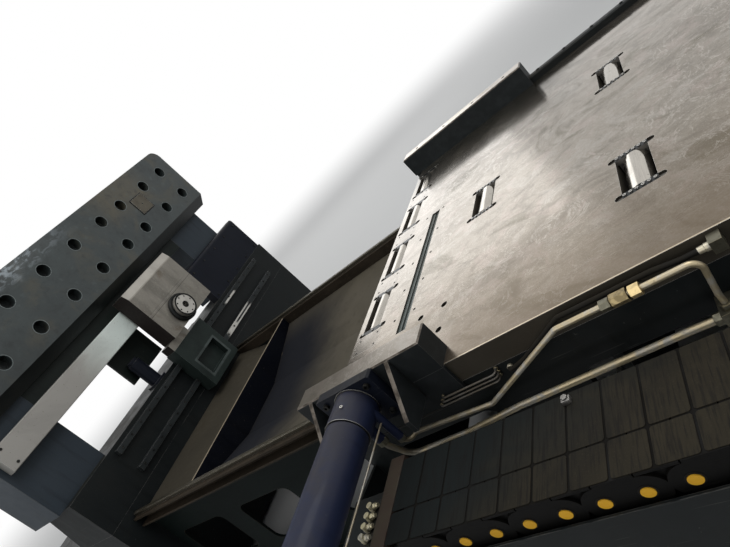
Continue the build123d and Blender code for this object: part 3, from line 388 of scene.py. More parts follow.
def table_finish(name, base, stain, rub):
    """Ground steel of the table, darker and browner towards the operator from oil and a painted dark
    reflection, and browner and oilier on its sides.
    """
    b = Board(name)
    tone, film, height = steel_patina(b, base, stain, rub)
    reach = b.past("Y") + b.noise(0.25, detail=3.0) * 0.3
    # Darker and browner towards the operator: an oil film with a painted dark reflection
    near = reach.band(0.8, 0.05) * 0.72
    far = reach.band(1.3, 1.62)
    side = b.facing("Z").band(0.75, 0.3)
    bar_low, bar_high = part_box("far_bar")
    # Painted shade and reflection of the far bar on the table in front of it, with a wandering border
    wander = (b.noise(0.25, detail=4.0, distortion=0.8) - 0.5) * 0.3
    place = b.axis("X") + wander
    shaded = (bar_low.y - b.axis("Y") + wander).band(0.46, 0.06)
    shaded = shaded * place.band(bar_low.x - 0.05, bar_low.x + 0.1)
    shaded = shaded * place.band(bar_high.x + 0.35, bar_high.x - 0.05)
    # Painted highlight where the table mirrors the light, over rubbed steel, at the left end and at the far
    # right
    clean = place.band(TABLE_LOW.x + 0.42, TABLE_LOW.x + 0.12) * reach.band(0.5, 1.0)
    clean = clean.most(place.band(TABLE_LOW.x + 1.3, TABLE_LOW.x + 1.9) * reach.band(1.3, 1.65))
    # Painted highlight along the table's front top edge
    front = b.past("Y").band(0.005, 0.0035) * b.facing("Z").band(0.6, 0.9)
    tone = b.layers(
        tone,
        (clean * 0.3, shade(rub, 1.25)),
        (shaded * 0.82, SHADED_STEEL),
        (near, (stain[0] * 1.1, stain[1] * 0.98, stain[2] * 0.8)),
        # Painted shade in the corners, in a darker stain tone
        (b.corners(0.03) * 0.6, shade(stain, 0.35)),
        (side * 0.88, (stain[0] * 0.23, stain[1] * 0.25, stain[2] * 0.24)),
        (front * 0.8, LIT_EDGE),
        (b.edges(0.0022) * 0.75, BARE_EDGE),
    )
    return b.finish({
        "Base Color": tone,
        "Metallic": 0.85 - film.least(1.0) * 0.3 - side * 0.4,
        "Roughness": 0.21 + film * 0.1 + near * 0.1 + side * 0.25 - far * 0.12 + shaded * 0.1,
        "Normal": b.relief(height, 0.000012, 0.0012),
    })


def topped_finish(name, base, stain, rub, paint):
    """Dark paint on the sides and bare ground steel on the faces that point up."""
    b = Board(name)
    tone, film, height = steel_patina(b, base, stain, rub)
    mottle = b.noise(0.05, detail=5.0, roughness=0.65)
    bare = b.facing("Z").band(0.55, 0.68)
    slope = bare * b.facing("Z").band(0.85, 0.75)
    rusty = b.mix(mottle.band(0.4, 0.62), LIGHT_RUST, DEEP_RUST)
    painted = b.mix(mottle.band(0.4, 0.7) * 0.5, paint, shade(paint, 2.0))
    tone = b.layers(
        painted,
        (bare, b.mix(slope, tone, rusty)),
        (b.edges(0.0022) * 0.28, CHIPPED_EDGE),
    )
    return b.finish({
        "Base Color": tone,
        "Metallic": bare * 0.8,
        "Roughness": 0.5 - bare * 0.2 + film * 0.06,
        "Specular IOR Level": 0.12,
        "Normal": b.relief(height + mottle * 0.4, 0.00018, 0.0014),
    })


def bearing_finish(name, bar, block):
    """Bearing blocks with dark steel bars at the height of the table's top."""
    b = Board(name)
    fine = b.noise(0.008, detail=4.0, roughness=0.65)
    bare = b.facing("Z").band(0.8, 0.95) * b.past("Z").band(-0.004, -0.002)
    tone = b.layers(
        block,
        (bare, b.mix(fine.band(0.4, 0.7) * 0.6, bar, shade(bar, 0.5))),
        (b.edges(0.0012) * 0.5, shade(bar, 1.4)),
    )
    return b.finish({
        "Base Color": tone,
        "Metallic": bare * 0.85,
        "Roughness": 0.42 - bare * 0.12 + fine * 0.08,
        "Specular IOR Level": 0.15,
        "Normal": b.relief(fine * 0.5, 0.00012, 0.001),
    })


def carriage_finish(name, front, bright, rust):
    """Old ground steel at the front with upright stains, a bright bevel and rusty sides."""
    b = Board(name)
    bands = b.noise(0.075, b.point((1, 1, 0.3)), detail=5.0, roughness=0.6, distortion=0.5)
    cloud = b.noise(0.19, detail=4.0, distortion=1.0)
    fine = b.noise(0.011, detail=4.0, roughness=0.7)
    lines = b.noise(0.002, b.point((1, 1, 0.04)), detail=1.0)
    slope = (b.facing("X") * b.facing("Z")).band(0.2, 0.4)
    sideways = b.facing("Y").size().band(0.6, 0.9)
    rise = b.past("Z")
    # A groove across the front, drawn as a thin dark line of painted shade
    groove_shade = (rise - CARRIAGE_GROOVE).size().band(0.0015, 0.0008)
    upper = b.mix(cloud.band(0.35, 0.65), shade(front, 1.9), shade(front, 1.3))
    tone = b.layers(
        front,
        (bands.band(0.4, 0.66) * 0.6, shade(front, 0.5)),
        (cloud.band(0.52, 0.7) * 0.45, OLD_OIL),
        (fine.band(0.52, 0.72) * 0.35, shade(front, 1.6)),
        (rise.band(0.662, 0.666) * 0.75, upper),
        (slope * 0.9, shade(bright, 0.62)),
        # Painted shade of the groove
        (groove_shade * 0.8, shade(front, 0.15)),
        (sideways, b.mix(fine.band(0.4, 0.66) * 0.6, rust, shade(rust, 0.35))),
        (b.edges(0.002) * 0.55, CARRIAGE_EDGE),
    )
    return b.finish({
        "Base Color": tone,
        "Metallic": 0.7 - sideways * 0.65,
        "Roughness": 0.4 + bands * 0.08 + sideways * 0.25 - slope * 0.1,
        "Specular IOR Level": 0.2,
        "Normal": b.relief(lines * 0.3 + fine * 0.5, 0.00016, 0.0014),
    })


def lid_finish(name, base, dust):
    """Moulded lids, dark on the left with painted shade, and under streaky brown dust to the right and the
    front.
    """
    b = Board(name)
    cloud = b.noise(0.2, detail=5.0, roughness=0.6, distortion=0.6)
    streak = b.noise(0.005, b.point((1, 0.07, 1)), detail=3.0)
    fine = b.noise(0.0035, detail=2.0)
    place = b.past("X") + (TABLE_LOW.y - b.axis("Y")) * 1.6 + (cloud - 0.5) * 0.5
    dusty = place.band(0.95, 1.45)
    powder = b.layers(
        shade(dust, 0.55),
        (cloud.band(0.3, 0.68), dust),
        (fine.band(0.6, 0.7) * 0.5, shade(dust, 1.6)),
    )
    tone = b.layers(
        # Painted shade on the lids to the left, where the tubes and the table shade them
        SHADED_LID,
        (dusty, powder),
        (streak.band(0.46, 0.66) * 0.65, shade(base, 0.8)),
        (b.edges(0.001) * 0.35 * (dusty + 0.2), shade(dust, 1.6)),
    )
    return b.finish({
        "Base Color": tone,
        "Roughness": 0.62 + cloud * 0.15,
        "Specular IOR Level": 0.1,
        "Normal": b.relief(fine * 0.5 + streak * 0.4, 0.0003, 0.001),
    })


def fitting_finish(name, dull, brass):
    """Plated fittings: dull grey on the left, then dull brass, and bright brass on the right."""
    b = Board(name)
    cloud = b.noise(0.012, detail=4.0, distortion=0.6)
    place = b.past("X")
    # Metres along the table where one fitting ends and the next begins
    right = place.band(1.014, 1.016) * place.band(1.08, 1.06)
    middle = place.band(0.971, 0.974) * (1.0 - right) * place.band(1.08, 1.06)
    tone = b.layers(
        dull,
        (cloud.band(0.4, 0.65) * 0.6, shade(dull, 0.55)),
        (middle, b.mix(cloud.band(0.4, 0.6), shade(brass, 0.42), shade(brass, 0.24))),
        (right, b.mix(cloud.band(0.45, 0.65) * 0.5, brass, shade(brass, 0.6))),
        (place.band(1.2, 1.3), shade(dull, 2.4)),
        # Grime and painted shade in the corners
        (b.corners(0.012) * 0.6, FITTING_GRIME_AND_SHADE),
        (b.edges(0.001) * 0.3, shade(brass, 0.9)),
    )
    return b.finish({
        "Base Color": tone,
        "Metallic": 0.85,
        "Roughness": 0.34 + cloud * 0.12,
        "Normal": b.relief(cloud * 0.5, 0.0001, 0.001),
    })


def guide_bar_finish(name, bright):
    """A ground bar with a painted bright greenish reflection by the carriage, and grey at its near end."""
    b = Board(name)
    lines = b.noise(0.002, b.point(ALONG_Y), detail=2.0)
    cloud = b.noise(0.12, b.point((1, 0.5, 1)), detail=5.0, distortion=0.8)
    spots = b.noise(0.01, detail=3.0).band(0.64, 0.72)
    place = b.past("Y") + (cloud - 0.5) * 0.25
    tone = b.layers(
        shade(bright, 0.6),
        # Painted reflection, bright and greenish, towards the carriage
        (place.band(0.4, 0.84), PAINTED_BAR_REFLECTION),
        (cloud.band(0.45, 0.68) * 0.3, shade(bright, 0.38)),
        (spots * 0.5, OIL_SPOT),
        # Grime and painted shade in the corners
        (b.corners(0.02) * 0.7, BAR_GRIME_AND_SHADE),
        (b.edges(0.002) * 0.4, PALE_EDGE),
    )
    return b.finish({
        "Base Color": tone,
        "Metallic": 0.55 - place.band(0.4, 0.84) * 0.4,
        "Roughness": 0.4 + cloud * 0.1,
        "Normal": b.relief(lines * 0.6 - spots * 0.4, 0.0001, 0.0015),
    })


def rail_finish(name, bright, oil):
    """Guide rails that are wiped bright along one stretch and dark with oil elsewhere."""
    b = Board(name)
    lines = b.noise(0.002, b.point(ALONG_Y), detail=2.0)
    cloud = b.noise(0.09, b.point((1, 0.4, 1)), detail=4.0, distortion=0.6)
    place = b.axis("Y") + (cloud - 0.5) * 0.12
    reach = place - TABLE_LOW.y
    rise = b.past("Z")
    upper = rise.band(0.155, 0.165)
    # Metres past the near edge between which the saddle wipes the rails, and the lines it wipes
    pair = (rise - LOWER_RAIL).size().band(0.004, 0.0075).most(reach.band(1.36, 1.32))
    line = (rise - UPPER_RAIL).size().band(0.008, 0.005)
    wiped = reach.band(1.2, 1.25) * reach.band(1.57, 1.52) * (1.0 - upper) * pair
    wiped = wiped + reach.band(1.39, 1.42) * reach.band(1.58, 1.54) * upper * line
    wiped = wiped * b.facing("X").band(0.5, 0.9)
    tone = b.layers(
        shade(oil, 1.5),
        (cloud.band(0.4, 0.7), oil),
        (wiped, bright),
        (b.edges(0.0015) * 0.45, shade(bright, 0.8)),
    )
    return b.finish({
        "Base Color": tone,
        "Metallic": 0.35 + wiped * 0.6,
        "Roughness": 0.36 - wiped * 0.1 + lines * 0.08,
        "Specular IOR Level": 0.2,
        "Normal": b.relief(lines * 0.5, 0.00008, 0.001),
    })


def bright_finish(name, base, along, rough):
    """Ground or turned bright steel with fine marks along its length and light stains."""
    b = Board(name)
    lines = b.noise(0.002, b.point(along), detail=2.0)
    cloud = b.noise(0.11, detail=4.0, distortion=0.7)
    nick = b.noise(0.012, detail=2.0).band(0.66, 0.72)
    tone = b.layers(
        base,
        (cloud.band(0.45, 0.7) * 0.45, shade(base, 0.6)),
        (lines.band(0.35, 0.7) * 0.25, shade(base, 0.5)),
        (nick * 0.5, NICK),
        # Grime and painted shade in the corners
        (b.corners(0.02) * 0.7, STEEL_GRIME_AND_SHADE),
        (b.edges(0.0015) * 0.5, POLISHED_EDGE),
    )
    return b.finish({
        "Base Color": tone,
        "Metallic": 0.95 - nick * 0.3,
        "Roughness": rough + cloud.band(0.4, 0.75) * 0.16 + lines * 0.1,
        "Normal": b.relief(lines * 0.6 - nick * 0.5, 0.00008, 0.001),
    })


def painted_finish(
    name, base, dust, wear, gloss=0.42, coat=0.0, bare=CHIPPED_EDGE, shine=0.14, film=0.12, top=None
):
    """Workshop paint that is chipped at its edges, dusty on top and streaked with oil, with painted shade in
    its corners and, where a top colour is given, a painted highlight on faces that point up.
    """
    b = Board(name)
    cloud = b.noise(0.45, detail=4.0, distortion=0.5)
    mottle = b.noise(0.06, detail=5.0, roughness=0.65)
    peel = b.noise(0.0035, detail=2.0)
    runs = b.noise(0.03, b.point((1, 1, 0.08)), detail=3.0)
    chips = b.noise(0.02, detail=5.0, roughness=0.7).band(0.68, 0.71)
    rub = b.edges(0.003) * mottle.band(0.34, 0.6)
    scratch = b.noise(0.0022, b.point((0.02, 1, 0.9), (0.3, 0.2, 0.6)), detail=1.0).band(0.71, 0.76)
    worn = (rub * wear + chips * wear * 0.5 + scratch * wear * 0.35).least(1.0)
    level = b.upward()
    dusty = (level * 0.5 + film) * (cloud * 0.75 + mottle * 0.45).band(0.5, 0.78)
    tone = b.layers(
        base,
        (cloud.band(0.35, 0.7) * 0.4, shade(base, 1.6)),
        (runs.band(0.5, 0.72) * (1.0 - level) * 0.4, shade(base, 0.45)),
        (dusty, dust),
        # Painted shade in the corners
        (b.corners(0.05) * 0.6, shade(base, 0.3)),
        (worn, bare),
    )
    # A lighter colour on faces that point up, as a painted highlight
    if top:
        tone = b.mix(b.facing("Z").band(0.6, 0.8), tone, top)
    return b.finish({
        "Base Color": tone,
        "Metallic": worn * 0.75,
        "Roughness": gloss + dusty * 0.3 + (mottle - 0.5) * 0.16 - runs.band(0.5, 0.7) * 0.08,
        "Coat Weight": (1.0 - worn) * coat,
        "Specular IOR Level": shine,
        "Normal": b.relief(peel * 0.25 + mottle * 0.5 - worn * 0.5, 0.00025, 0.0016),
    })


def beam_finish(name, base, brown):
    """Thick enamel over a cast skin, with brown dust, a painted shadow in the lower corner at its near end, a
    glossy upper edge with a painted highlight, and painted shade underneath and in corners.
    """
    b = Board(name)
    cloud = b.noise(0.4, detail=5.0, distortion=0.6)
    stain = b.noise(0.3, detail=6.0, roughness=0.62, distortion=1.2)
    mottle = b.noise(0.05, detail=6.0, roughness=0.7)
    skin = b.noise(0.022, b.point((1, 0.6, 1)), detail=3.0, distortion=0.8)
    streak = b.noise(0.028, b.point((1, 0.45, 1), (0.35, 0, 0)), detail=5.0, roughness=0.62, distortion=0.5)
    reach = b.past("Y") + (cloud - 0.5) * 0.25
    rise = b.past("Z") - BEAM_FOOT + (stain - 0.5) * 0.12
    # Brown dust, a glossy stretch with a painted highlight and a painted shadow in the lower near corner, in
    # metres along the beam and above its foot
    patch = reach.band(1.2, 1.4) * reach.band(1.78, 1.6) * rise.band(0.2, 0.36)
    gloss_and_highlight = reach.band(1.15, 0.7) * rise.band(0.36, 0.45) * b.facing("X").band(0.1, 0.5)
    shadow = reach.band(0.9, 0.1) * rise.band(0.3, 0.05)
    # Painted shade on faces that point down
    under = b.facing("Z").band(-0.2, -0.6)
    tone = b.layers(
        base,
        (cloud.band(0.35, 0.7) * 0.45, shade(base, 1.5)),
        ((stain.band(0.5, 0.68) * 0.45 + patch * 0.65).least(0.9), brown),
        (stain.band(0.46, 0.34) * 0.4, shade(base, 0.45)),
        (mottle.band(0.5, 0.7) * 0.5, shade(base, 0.4)),
        (mottle.band(0.44, 0.3) * 0.5, shade(base, 2.0)),
        # Painted shadow in the lower corner at the beam's near end
        (shadow * 0.5, shade(base, 0.35)),
        # Painted highlight along the glossy upper edge
        (gloss_and_highlight * streak.band(0.46, 0.6) * 0.7, BEAM_HIGHLIGHT),
        (under * 0.9, shade(base, 0.2)),
        # Painted shade in the corners
        (b.corners(0.05) * 0.6, shade(base, 0.3)),
        (b.edges(0.003) * 0.3, ENAMEL_EDGE),
    )
    return b.finish({
        "Base Color": tone,
        "Roughness": 0.36 - gloss_and_highlight * 0.12 + stain.band(0.5, 0.7) * 0.2,
        "Coat Weight": (0.25 + gloss_and_highlight * 0.5) * (1.0 - under),
        "Specular IOR Level": 0.3,
        "Normal": b.relief(skin * 0.6 + mottle * 0.3, 0.0016, 0.002),
    })


def pan_finish(name, base, dark):
    """Dusty paint with a painted shadow beside the partition, brown towards the table."""
    b = Board(name)
    cloud = b.noise(0.35, detail=5.0, roughness=0.6, distortion=0.8)
    mottle = b.noise(0.05, detail=6.0, roughness=0.7)
    away = TABLE_LOW.x - b.axis("X") + (cloud - 0.5) * 0.2
    reach = b.past("Y")
    # The painted shadow beside the partition, in metres from the table's left edge
    shadow = away.band(0.32, 0.74) * away.band(0.972, 0.968) * reach.band(1.35, 1.0)
    outside = b.facing("Z").band(0.2, -0.1)
    tone = b.layers(
        base,
        (cloud.band(0.35, 0.7) * 0.5, shade(base, 0.6)),
        (mottle.band(0.5, 0.7) * 0.4, shade(base, 0.5)),
        (shadow * 0.95, dark),
        # Painted shade in the corners
        (b.corners(0.06) * 0.5, shade(base, 0.2)),
        (b.edges(0.002) * 0.5, shade(base, 1.8)),
        (outside * 0.95, dark),
    )
    return b.finish({
        "Base Color": tone,
        "Roughness": 0.55 + mottle * 0.15 + shadow * 0.15,
        "Specular IOR Level": 0.06,
        "Normal": b.relief(mottle * 0.6, 0.0004, 0.002),
    })


def trough_finish(name, rail, side):
    """Brown worn paint on the channel at the top, and below it dark paint with painted shade under the
    channel.
    """
    b = Board(name)
    cloud = b.noise(0.1, b.point((0.4, 1, 1)), detail=5.0, roughness=0.65, distortion=0.6)
    fine = b.noise(0.01, b.point((0.5, 1, 1)), detail=4.0, roughness=0.7)
    # Darker below the channel: dark paint with painted shade under the channel
    below = b.past("Z").band(-0.07, -0.075)
    upper = b.mix(cloud.band(0.4, 0.62) * 0.7, rail, shade(rail, 0.45))
    upper = b.mix(fine.band(0.55, 0.7) * 0.5, upper, shade(rail, 2.0))
    lower = b.mix(cloud.band(0.4, 0.65) * 0.5, side, shade(side, 0.5))
    tone = b.layers(
        upper,
        (below, lower),
        # Painted shade in the corners
        (b.corners(0.03) * 0.6, shade(side, 0.5)),
        (b.edges(0.002) * 0.5, shade(rail, 4.0)),
    )
    return b.finish({
        "Base Color": tone,
        "Roughness": 0.5 + fine * 0.15,
        "Specular IOR Level": 0.06,
        "Normal": b.relief(fine * 0.6, 0.0003, 0.0015),
    })


def saddle_finish(name, base, frame_tone):
    """Green black paint with a lighter border round the window, a painted highlight of its lit rim, and
    painted shade in corners.
    """
    b = Board(name)
    cloud = b.noise(0.12, detail=5.0, roughness=0.65, distortion=0.6)
    fine = b.noise(0.012, detail=4.0, roughness=0.7)
    across = (b.past("Y") - WINDOW_MIDDLE).size() - 0.095
    over = (b.past("Z") - WINDOW_HEIGHT).size() - 0.06
    # A border outside the window, whose halves are 95 mm wide and 60 mm high, painted lighter as a highlight
    # of the window's lit rim
    apart = across.most(over) + (fine - 0.5) * 0.004
    border = apart.band(-0.001, 0.001) * apart.band(0.016, 0.011) * b.facing("X").band(0.5, 0.9)
    tone = b.layers(
        base,
        (cloud.band(0.38, 0.66) * 0.6, shade(base, 0.45)),
        # Painted highlight of the window's lit rim
        (border * 0.8, b.mix(cloud.band(0.4, 0.6), frame_tone, shade(frame_tone, 0.6))),
        # Painted shade in the corners
        (b.corners(0.04) * 0.6, shade(base, 0.3)),
        (b.edges(0.003) * fine.band(0.35, 0.6) * 0.5, shade(frame_tone, 2.0)),
    )
    return b.finish({
        "Base Color": tone,
        "Roughness": 0.42 + fine * 0.15,
        "Specular IOR Level": 0.2,
        "Normal": b.relief(fine * 0.6, 0.0005, 0.002),
    })


def plastic_finish(name, base, dust, gloss=0.55, fall_share=0.75):
    """Moulded plastic with a fine grain, scuffs and settled dust."""
    b = Board(name)
    grit = 0.0004
    grain = b.noise(grit * 6, detail=1.0)
    cloud = b.noise(0.12, detail=4.0, distortion=0.4)
    scuff = b.noise(0.004, b.point((0.05, 1, 1), (0, 0, 0.2)), detail=1.0).band(0.66, 0.74)
    fall = b.upward() * cloud.band(0.3, 0.62)
    tone = b.layers(
        base,
        (cloud.band(0.4, 0.7) * 0.4, shade(base, 0.6)),
        (scuff * 0.35, shade(dust, 1.3)),
        (fall * fall_share, dust),
        (b.edges(0.0015) * 0.3, shade(dust, 1.2)),
    )
    return b.finish({
        "Base Color": tone,
        "Roughness": gloss + fall * 0.3 + scuff * 0.1,
        "Specular IOR Level": 0.1,
        "Normal": b.relief(grain * 0.5 - scuff * 0.3, grit, 0.0012),
    })


def plated_finish(name, base, dull_from=0.0, dull_to=0.001, letter="X"):
    """Zinc plated tube with cloudy passivation and dull patches, oily brown up to a place along it."""
    b = Board(name)
    cloud = b.noise(0.05, detail=5.0, distortion=1.0)
    draw = b.noise(0.0016, b.point((0.06, 1, 1)), detail=1.0)
    spot_mask = b.noise(0.009, detail=3.0).band(0.64, 0.74)
    along = b.past(letter) + (cloud - 0.5) * 0.1
    oily = along.band(dull_to, dull_from) if letter == "X" else along.band(dull_from, dull_to)
    tone = b.layers(
        base,
        (cloud.band(0.4, 0.65), DULL_ZINC),
        (cloud.band(0.62, 0.42) * 0.3, YELLOW_ZINC),
        (spot_mask * 0.5, ZINC_SPOT),
        (oily * 0.8, shade(base, 0.2)),
        # Grime and painted shade in the corners
        (b.corners(0.012) * 0.7, ZINC_GRIME_AND_SHADE),
        (b.edges(0.001) * 0.5, ZINC_EDGE),
    )
    return b.finish({
        "Base Color": tone,
        "Metallic": 0.66 - spot_mask * 0.4,
        "Roughness": 0.36 + cloud.band(0.35, 0.7) * 0.18 + draw * 0.08,
        "Normal": b.relief(draw * 0.4 + cloud * 0.3 - spot_mask * 0.4, 0.00012, 0.0008),
    })


def make_finishes(s):
    """Every finish of the machine, by name."""
    dust, wear = tuple(s.dust_colour), s.wear
    dark, bright = tuple(s.dark_colour), tuple(s.bright_colour)
    base, stain, rub = tuple(s.table_colour), tuple(s.table_stain), tuple(s.table_rub)
    body, pan, rust = tuple(s.body_colour), tuple(s.pan_colour), tuple(s.rust_colour)
    FINISHES.update(
        table=table_finish("table_steel", shade(base, 0.86), stain, shade(rub, 0.9)),
        cover=table_finish("cover_steel", shade(base, 0.72), shade(stain, 0.8), shade(rub, 0.85)),
        block=topped_finish("block_steel", shade(base, 0.62), stain, shade(rub, 0.6), shade(dark, 1.3)),
        bar=topped_finish("bar_steel", shade(rub, 1.2), base, shade(rub, 1.5), shade(dark, 1.8)),
        bearing=bearing_finish("bearing_steel", bar=shade(dark, 1.2), block=(0.15, 0.14, 0.125)),
        roller=bright_finish("roller_steel", (0.48, 0.45, 0.4), ALONG_Y, 0.06),
        guide=bright_finish("guide_steel", (0.066, 0.058, 0.04), ALONG_X, 0.42),
        machined=bright_finish("machined_steel", shade(bright, 0.42), BROADLY_ALONG_Y, 0.36),
        pad=bright_finish("pad_steel", (0.11, 0.1, 0.08), BROADLY_ALONG_Y, 0.42),
        nose=bright_finish("nose_steel", bright, EVEN, 0.34),
        carriage=carriage_finish(
            "carriage_steel", tuple(s.carriage_colour), bright, rust=(0.02, 0.0155, 0.0135)
        ),
        rail=rail_finish("rail_steel", shade(bright, 1.1), shade(dark, 2)),
        guide_bar=guide_bar_finish("guide_bar_steel", bright),
        union=fitting_finish("union_plating", dull=(0.15, 0.142, 0.105), brass=(0.68, 0.53, 0.27)),
        lid=lid_finish("lid_plastic", tuple(s.chain_colour), dust=(0.028, 0.0235, 0.015)),
        rim=bright_finish("rim_steel", shade(bright, 0.12), EVEN, 0.35),
        # The partition's light top face is a painted highlight
        partition=painted_finish(
            "partition_paint", shade(s.navy_colour, 0.5), shade(dust, 0.2), 1.0, 0.5,
            bare=(0.16, 0.14, 0.105), shine=0.06, top=(0.3, 0.25, 0.18),
        ),
        dark=painted_finish("dark_steel", dark, shade(dust, 0.6), wear * 0.6, bare=(0.2, 0.19, 0.17)),
        insert=painted_finish("insert_plate", (0.095, 0.112, 0.103), shade(dust, 0.9), wear * 0.4, 0.4),
        black=painted_finish("black_oxide", shade(dark, 0.5), shade(dust, 0.4), wear * 0.5, 0.4),
        saddle=saddle_finish("saddle_paint", shade(s.saddle_colour, 1.15), frame_tone=(0.1, 0.12, 0.115)),
        web=painted_finish("web_paint", shade(s.saddle_colour, 0.5), shade(dust, 0.4), wear * 0.5, 0.45),
        screw=bright_finish("screw_steel", shade(bright, 0.75), EVEN, 0.3),
        black_screw=painted_finish(
            "black_screw_steel", shade(dark, 0.55), shade(dust, 0.4), wear * 0.4, 0.4, shine=0.1
        ),
        beam=beam_finish("beam_enamel", shade(s.beam_colour, 1.1), brown=(0.098, 0.086, 0.058)),
        hole_rim=painted_finish("hole_rim_paint", (0.17, 0.195, 0.195), shade(dust, 0.8), wear * 0.3, 0.4),
        column=painted_finish("column_paint", (0.034, 0.044, 0.055), shade(dust, 0.6), wear * 0.5, 0.42),
        # The trough's side tone is dark paint with painted shade under the channel
        trough=trough_finish("trough_paint", rail=(0.036, 0.028, 0.02), side=(0.004, 0.0065, 0.006)),
        body=painted_finish("body_paint", body, shade(dust, 0.45), wear * 0.6, 0.48),
        navy=painted_finish(
            "navy_paint", tuple(s.navy_colour), shade(dust, 0.35), wear * 0.4,
            coat=0.05, shine=0.1, film=0.04,
        ),
        blue=painted_finish(
            "blue_paint", tuple(s.blue_colour), shade(dust, 0.8), wear * 0.25, 0.44,
            coat=0.05, film=0.03,
        ),
        # The pan's dark tone is its outside paint and the painted shadow beside the partition
        pan=pan_finish("pan_paint", pan, dark=(0.009, 0.0105, 0.015)),
        chute=painted_finish("chute_paint", shade(pan, 0.5), shade(dust, 0.7), wear * 0.5, 0.55, film=0.3),
        chain=plastic_finish("chain_plastic", shade(s.chain_colour, 0.28), shade(dust, 0.07)),
        hose=plastic_finish("hose_rubber", shade(s.chain_colour, 1.4), shade(dust, 0.35)),
        rust=painted_finish("rusty_paint", rust, shade(dust, 0.8), wear * 0.5, 0.6, film=0.3),
        pin=plastic_finish("pin_plastic", tuple(s.pin_colour), (0.6, 0.36, 0.05), 0.42, fall_share=0.2),
        zinc=plated_finish("zinc_plating", shade(s.zinc_colour, 1.18), 0.15, 0.5),
        high_zinc=plated_finish("high_tube_plating", shade(s.zinc_colour, 0.9), 0.3, 0.75),
        thin=plated_finish("thin_tube_plating", (0.15, 0.13, 0.115), -0.07, -0.04, "Y"),
        valve=plated_finish("valve_plating", (0.66, 0.61, 0.4)),
        pale=plated_finish("pale_plating", (0.5, 0.47, 0.38)),
    )


NODE_FINISH = {
    "table_plate": "table",
    "slot_insert": "insert",
    "roller_bearings": "bearing",
    "edge_bearings": "bearing",
    "edge_covers": "cover",
    "near_block": "block",
    "cylinder_bracket": "block",
    "cylinder_flange": "navy",
    "cylinder_barrel": "blue",
    "far_bar": "bar",
    "tray_bar": "rust",
    "valve_block": "dark",
    "valve_fittings": "valve",
    "lube_tubes": "thin",
    "side_hose": "hose",
    "drag_chain": "chain",
    "chain_pins": "pin",
    "tube_high": "high_zinc",
    "tube_low": "zinc",
    "tube_fittings": "union",
    "trough_guides": "guide",
    "trough_partition": "partition",
    "chip_pan": "pan",
    "chute_plate": "chute",
    "beam": "beam",
    "beam_pad": "pad",
    "column_near": "column",
    "column_far": "column",
    "trough_side_near": "trough",
    "trough_side_far": "trough",
    "portal_web": "web",
    "side_motor": "navy",
    "guide_bar": "guide_bar",
    "saw_rails": "rail",
    "drive_cover": "navy",
    "carriage": "carriage",
    "saddle": "saddle",
    "spindle_ring": "dark",
    "spindle": "nose",
}


# Mesh tools


def add_object(name, data):
    """An object in the scene, with its mesh, lamp or camera data."""
    made = bpy.data.objects.new(name, data)
    bpy.context.scene.collection.objects.link(made)
    return made


def add_piece(name, data, body):
    """A finished mesh as a piece that rides on its body."""
    piece = add_object(name, data)
    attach(piece, body)
    return piece


